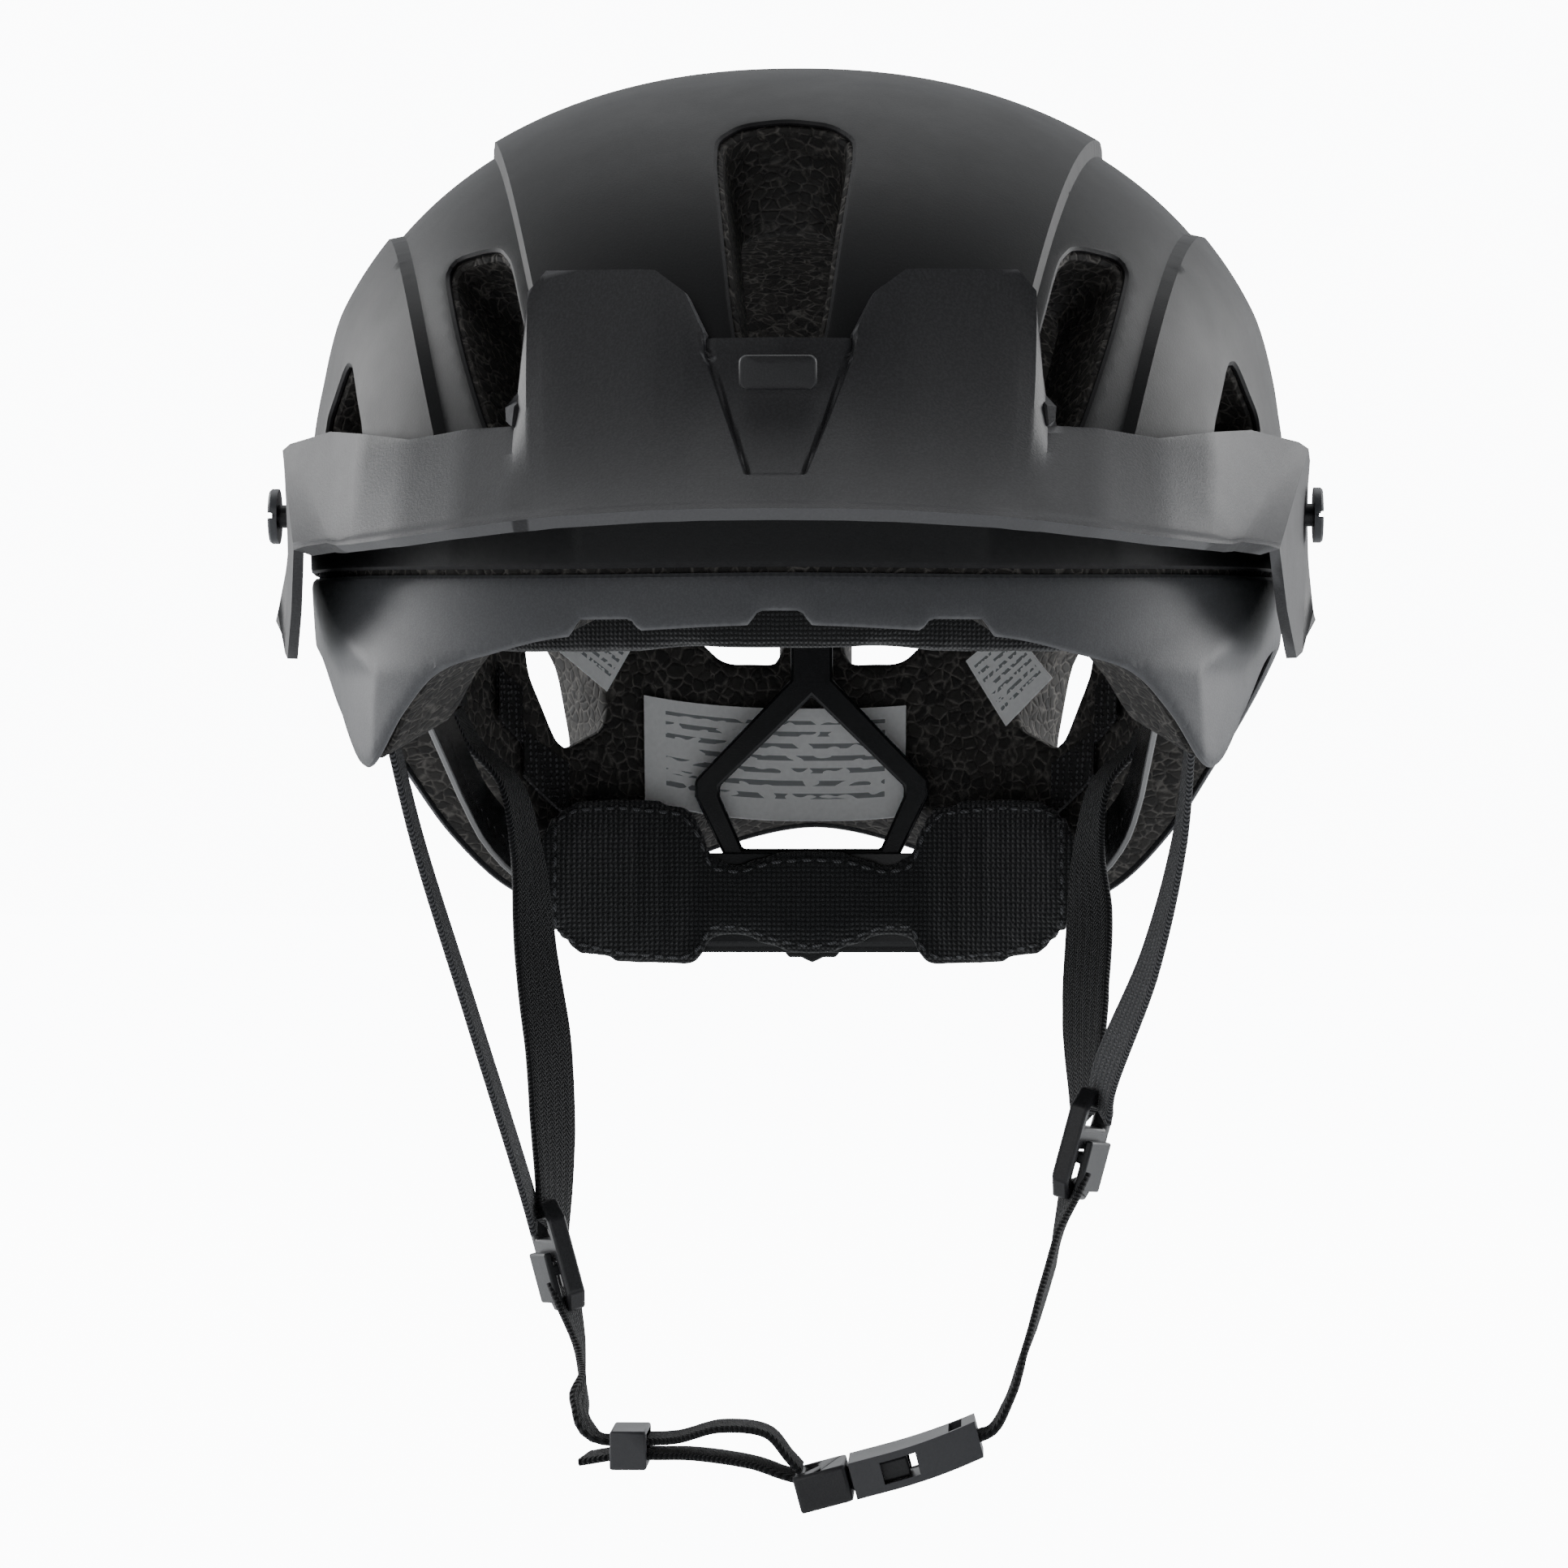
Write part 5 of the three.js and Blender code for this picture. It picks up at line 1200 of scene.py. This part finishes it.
# ---------------------------------------------------------------------------------------------
# Harness. Black polyester webbing in a herringbone weave, 15 mm wide: two straps a side that run
# through a cam divider, and the chin strap with its buckle and keeper.
# ---------------------------------------------------------------------------------------------
WEBBING_WIDTH = 15.0
WEBBING_THICKNESS = 1.6
weave_group, weave_in, weave_out = start_group("herringbone", [("Vector", "v"), ("Depth", "f")],
                                               [("Tone", "f"), ("Normal", "v")])
spread = node(weave_group, "ShaderNodeSeparateXYZ", Vector=weave_in.outputs["Vector"])
column = node(weave_group, "ShaderNodeMath", {"operation": "PINGPONG"}, i0=spread.outputs[1], i1=0.00125)
slope = node(weave_group, "ShaderNodeMath", {"operation": "MULTIPLY_ADD"}, i0=column.outputs[0], i1=1.0,
             i2=spread.outputs[0])
turns = node(weave_group, "ShaderNodeMath", {"operation": "MULTIPLY"}, i0=slope.outputs[0],
             i1=2 * math.pi / 0.0011)
wave = node(weave_group, "ShaderNodeMath", {"operation": "SINE"}, i0=turns.outputs[0])
rows_turn = node(weave_group, "ShaderNodeMath", {"operation": "MULTIPLY"}, i0=spread.outputs[1],
                 i1=2 * math.pi / 0.000625)
rows_wave = node(weave_group, "ShaderNodeMath", {"operation": "COSINE"}, i0=rows_turn.outputs[0])
both = node(weave_group, "ShaderNodeMath", {"operation": "MULTIPLY_ADD"}, i0=rows_wave.outputs[0], i1=0.25,
            i2=wave.outputs[0])
fibre = node(weave_group, "ShaderNodeTexNoise", Vector=weave_in.outputs["Vector"], Scale=2200.0, Detail=3.0)
tone = node(weave_group, "ShaderNodeMath", {"operation": "MULTIPLY_ADD"}, i0=fibre.outputs["Fac"], i1=0.8,
            i2=both.outputs[0])
bump = node(weave_group, "ShaderNodeBump", Strength=1.0, Distance=weave_in.outputs["Depth"],
            Height=tone.outputs[0])
weave_group.links.new(tone.outputs[0], weave_out.inputs["Tone"])
weave_group.links.new(bump.outputs[0], weave_out.inputs["Normal"])


def woven(name, low, high):
    """Woven webbing: dark valleys and paler yarn tops, in a chart measured in metres."""
    made, tree, shader = blank_material(name)
    chart = node(tree, "ShaderNodeUVMap", {"uv_map": "weave"})
    weave = node(tree, "ShaderNodeGroup", {"node_tree": weave_group}, Vector=chart.outputs[0], Depth=0.00022)
    share = node(tree, "ShaderNodeMapRange", Value=weave.outputs["Tone"], From_Min=-0.9, From_Max=1.6)
    mix = node(tree, "ShaderNodeMix", {"data_type": "RGBA"}, Factor=share.outputs[0])
    mix.inputs[6].default_value = srgb(low)
    mix.inputs[7].default_value = srgb(high)
    tree.links.new(mix.outputs[2], shader.inputs["Base Color"])
    tree.links.new(weave.outputs["Normal"], shader.inputs["Normal"])
    shader.inputs["Roughness"].default_value = 0.85
    shader.inputs["Specular IOR Level"].default_value = 0.25
    shader.inputs["Sheen Weight"].default_value = 0.25
    return made


black_weave = woven("black_webbing", "#070708", "#2a2b2e")
# A paler copy of the black webbing for the front straps: its lighter colours are a painted sheen.
sheen_painted_weave = woven("painted_sheen_webbing", "#151517", "#55565a")


def curve_through(points, count):
    """Points at even spacing on the centripetal curve through the given points, and its directions."""
    p = np.array(points, float)
    p = np.vstack([2 * p[0] - p[1], p, 2 * p[-1] - p[-2]])
    pieces = []
    t = np.linspace(0.0, 1.0, 60, endpoint=False)[:, None]
    for k in range(len(p) - 3):
        a, b, c, d = p[k:k + 4]
        h0, h1, h2 = (np.linalg.norm(v) ** 0.5 for v in (b - a, c - b, d - c))
        m1 = ((b - a) / h0 - (c - a) / (h0 + h1) + (c - b) / h1) * h1
        m2 = ((c - b) / h1 - (d - b) / (h1 + h2) + (d - c) / h2) * h1
        pieces.append((2 * t ** 3 - 3 * t ** 2 + 1) * b + (t ** 3 - 2 * t ** 2 + t) * m1
                      + (3 * t ** 2 - 2 * t ** 3) * c + (t ** 3 - t ** 2) * m2)
    line = np.vstack(pieces + [p[-2:-1]])
    lengths = np.r_[0.0, np.cumsum(np.linalg.norm(np.diff(line, axis=0), axis=1))]
    where = np.linspace(0.0, lengths[-1], count)
    even = np.column_stack([np.interp(where, lengths, line[:, k]) for k in range(3)])
    return even, unit(np.gradient(even, axis=0)), lengths[-1]


def webbing(name, route, facings, paint, nodes, body="helmet", blend=None):
    """A flat strap along a route: a rounded strip section whose width follows the facings."""
    probe = curve_through(route, 10)[2]
    count = max(20, int(probe / 1.2))
    line, way, length = curve_through(route, count)
    facing = np.array(facings, float)
    place = np.linspace(0.0, len(facing) - 1.0, count)
    side = unit(np.column_stack([np.interp(place, np.arange(len(facing)), facing[:, k]) for k in range(3)]))
    side = unit(side - (side * way).sum(1, keepdims=True) * way)
    up = np.cross(way, side)
    half, thin = WEBBING_WIDTH / 2, WEBBING_THICKNESS / 2
    angle = np.linspace(-np.pi / 2, np.pi / 2, 5)
    cap = np.column_stack([half - thin + thin * np.cos(angle), thin * np.sin(angle)])
    flats = np.linspace(-1, 1, 9)[1:-1, None] * np.array([[half - thin, 0.0]])
    top = flats[::-1] + np.array([[0.0, thin]])
    low = flats + np.array([[0.0, -thin]])
    section = np.vstack([cap, top, cap * -1.0, low])
    around = len(section)
    points = (line[:, None] + section[None, :, :1] * side[:, None] + section[None, :, 1:] * up[:, None])
    index = np.arange(count * around).reshape(count, around)
    after = np.roll(index, -1, axis=1)
    faces = np.stack([index[:-1], index[1:], after[1:], after[:-1]], axis=2).reshape(-1, 4)
    faces = faces[:, ::-1].tolist() + [index[0].tolist(), index[-1][::-1].tolist()]
    strap = new_mesh(name, points.reshape(-1, 3), faces, smooth_angle=60.0)
    fixer = bmesh.new()
    fixer.from_mesh(strap.data)
    bmesh.ops.recalc_face_normals(fixer, faces=fixer.faces)
    fixer.to_mesh(strap.data)
    fixer.free()
    layer = strap.data.uv_layers.new(name="weave")
    corner = np.empty(len(strap.data.loops), int)
    strap.data.loops.foreach_get("vertex_index", corner)
    u = corner // around * (length / (count - 1)) * MM
    v = section[corner % around, 0] * MM
    layer.data.foreach_set("uv", np.column_stack([u, v]).ravel())
    if blend:
        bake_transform(strap)
    else:
        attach(strap, body)
    finished(strap, paint, "webbing", *nodes)
    return strap


webbing("left_front_webbing",
        [(-84.4, -63, 10.5), (-80, -51, -12), (-71, -29, -48), (-60.5, -3, -90), (-59, 0.6, -96.6)],
        [(0, 1, 0), (0, 1, 0.2)], sheen_painted_weave, ["left_front_strap"])
webbing("right_front_webbing",
        [(84.4, -63, 10.5), (82.5, -48, -12), (77, -29, -38), (67.5, -3, -65.5), (66.6, 0.6, -71.9)],
        [(0, 1, 0), (-0.3, 1, 0.2)], sheen_painted_weave, ["right_front_strap"])
webbing("left_rear_webbing",
        [(-80.2, 42, 16.6), (-76.5, 43, 9.5), (-68, 44, 0), (-64, 44, -16), (-61.5, 38, -38),
         (-57.5, 25, -62), (-55.6, 12, -86), (-55.2, 5, -99.5)],
        [(0.1, 1, 0), (0.3, 0.95, 0), (0.5, 0.86, 0), (0.6, 0.8, 0), (0.55, 0.84, 0), (0.31, 0.95, 0)],
        black_weave, ["left_rear_strap"])
webbing("right_rear_webbing",
        [(80.2, 42, 16.6), (76.5, 43, 9.5), (68, 44, 0), (65, 44, -16), (65, 36, -32),
         (64, 23, -48), (63.7, 12, -62), (63.6, 5, -74.5)],
        [(-0.1, 1, 0), (-0.3, 0.95, 0), (-0.6, 0.8, 0), (-0.55, 0.84, 0), (-0.31, 0.95, 0)],
        black_weave, ["right_rear_strap"])
webbing("left_chin_webbing",
        [(-52.6, 3, -112.5), (-50, -1, -121.5), (-47.5, -9, -132), (-46, -21, -138.5), (-42.5, -26, -142),
         (-34, -26, -142.3), (-26, -26, -142), (-16, -27.5, -139.4), (-6, -29, -140.5),
         (-1.2, -30, -145.6), (1.2, -30, -148.2)],
        [(0.31, 0.95, 0), (-0.1, 1, 0), (0, 1, 0), (0, 1, 0), (0, 1, 0), (0, 1, 0)],
        black_weave, ["left_chin_strap"])
webbing("chin_tail_webbing",
        [(0.6, -30, -150.0), (-2.4, -30, -149.2), (-9, -28.5, -147.2), (-22, -26, -145.6),
         (-30, -26, -145.5), (-38, -26, -145.5), (-46, -25, -146.8)],
        [(0, 1, 0), (0, 1, 0)], black_weave, ["chin_strap_tail"])
webbing("right_chin_webbing",
        [(61.2, 3, -88.0), (58.6, -1, -96.5), (54, -12, -111), (49.4, -22, -124.4), (46.5, -27, -133),
         (42.6, -29.6, -139.6), (38.6, -30, -141.4)],
        [(-0.31, 0.95, 0), (0.1, 1, 0), (0.1, 1, 0), (0, 1, 0), (0, 1, 0)],
        black_weave, ["right_chin_strap", "buckle_strap_loop"],
        blend=("helmet", "buckle_socket", (0.0545, -0.011, -0.109), (0.0465, -0.027, -0.133)))

# ---------------------------------------------------------------------------------------------
# Harness hardware. Acetal cam dividers with snap levers, a side-release buckle with two sprung
# prongs, and a keeper ring that parks the strap's loose end.
# ---------------------------------------------------------------------------------------------
acetal_paint = moulded("satin_acetal", "#2c2c2e", 0.32, fineness=2800.0, depth=0.00003, edge_highlight_colour="#6f7074",
                       edge_highlight_share=0.45)
for side in ("left", "right"):
    from_node(side + "_divider_frame", side + "_divider_body", acetal_paint, "moulded_hardware", 0.8,
              "helmet", 3)
    from_node(side + "_divider_lever", side + "_divider_cam", nylon_paint, "moulded_hardware", 0.5,
              side + "_lever", 3)
from_node("buckle_male_half", "buckle_plug", acetal_paint, "moulded_hardware", 1.0, "helmet", 3)
BUCKLE_ORIGIN = np.array([12.2, -30.0, -150.0])
BUCKLE_LEAN = math.radians(15.0)
BUCKLE_CURL = 0.0038  # how fast the socket curls up towards the strap, per square millimetre


def curled(piece):
    """Bends the socket: its height grows with the square of the distance past its middle."""
    mesh = piece.data
    along = Vector((math.cos(BUCKLE_LEAN), 0.0, math.sin(BUCKLE_LEAN)))
    up = np.array([-math.sin(BUCKLE_LEAN), 0.0, math.cos(BUCKLE_LEAN)])
    cutter = bmesh.new()
    cutter.from_mesh(mesh)
    for step in range(9, 29, 2):
        place = Vector(BUCKLE_ORIGIN * MM) + along * step * MM
        bmesh.ops.bisect_plane(cutter, geom=cutter.verts[:] + cutter.edges[:] + cutter.faces[:],
                               plane_co=place,
                               plane_no=along, dist=1e-7)
    cutter.to_mesh(mesh)
    cutter.free()
    points = np.empty(len(mesh.vertices) * 3)
    mesh.vertices.foreach_get("co", points)
    points = points.reshape(-1, 3) / MM
    far = np.maximum(0.0, (points - BUCKLE_ORIGIN) @ np.array(along) - 8.0)
    across = (points - BUCKLE_ORIGIN)[:, 1]
    points = points + up * (BUCKLE_CURL * far * far)[:, None]
    points[:, 1] -= across * 0.0004 * far * far
    mesh.vertices.foreach_set("co", (points * MM).ravel())
    mesh.update()


socket = from_node("buckle_female_half", "buckle_socket_body", acetal_paint, "moulded_hardware", 1.0,
                   "buckle_socket", 3)
curled(socket)
for end in ("front", "back"):
    from_node(end + "_buckle_prong", end + "_prong_arm", acetal_paint, "moulded_hardware", 0.5,
              end + "_prong", 3)
from_node("strap_keeper", "keeper_ring", acetal_paint, "moulded_hardware", 0.6, "keeper", 3)
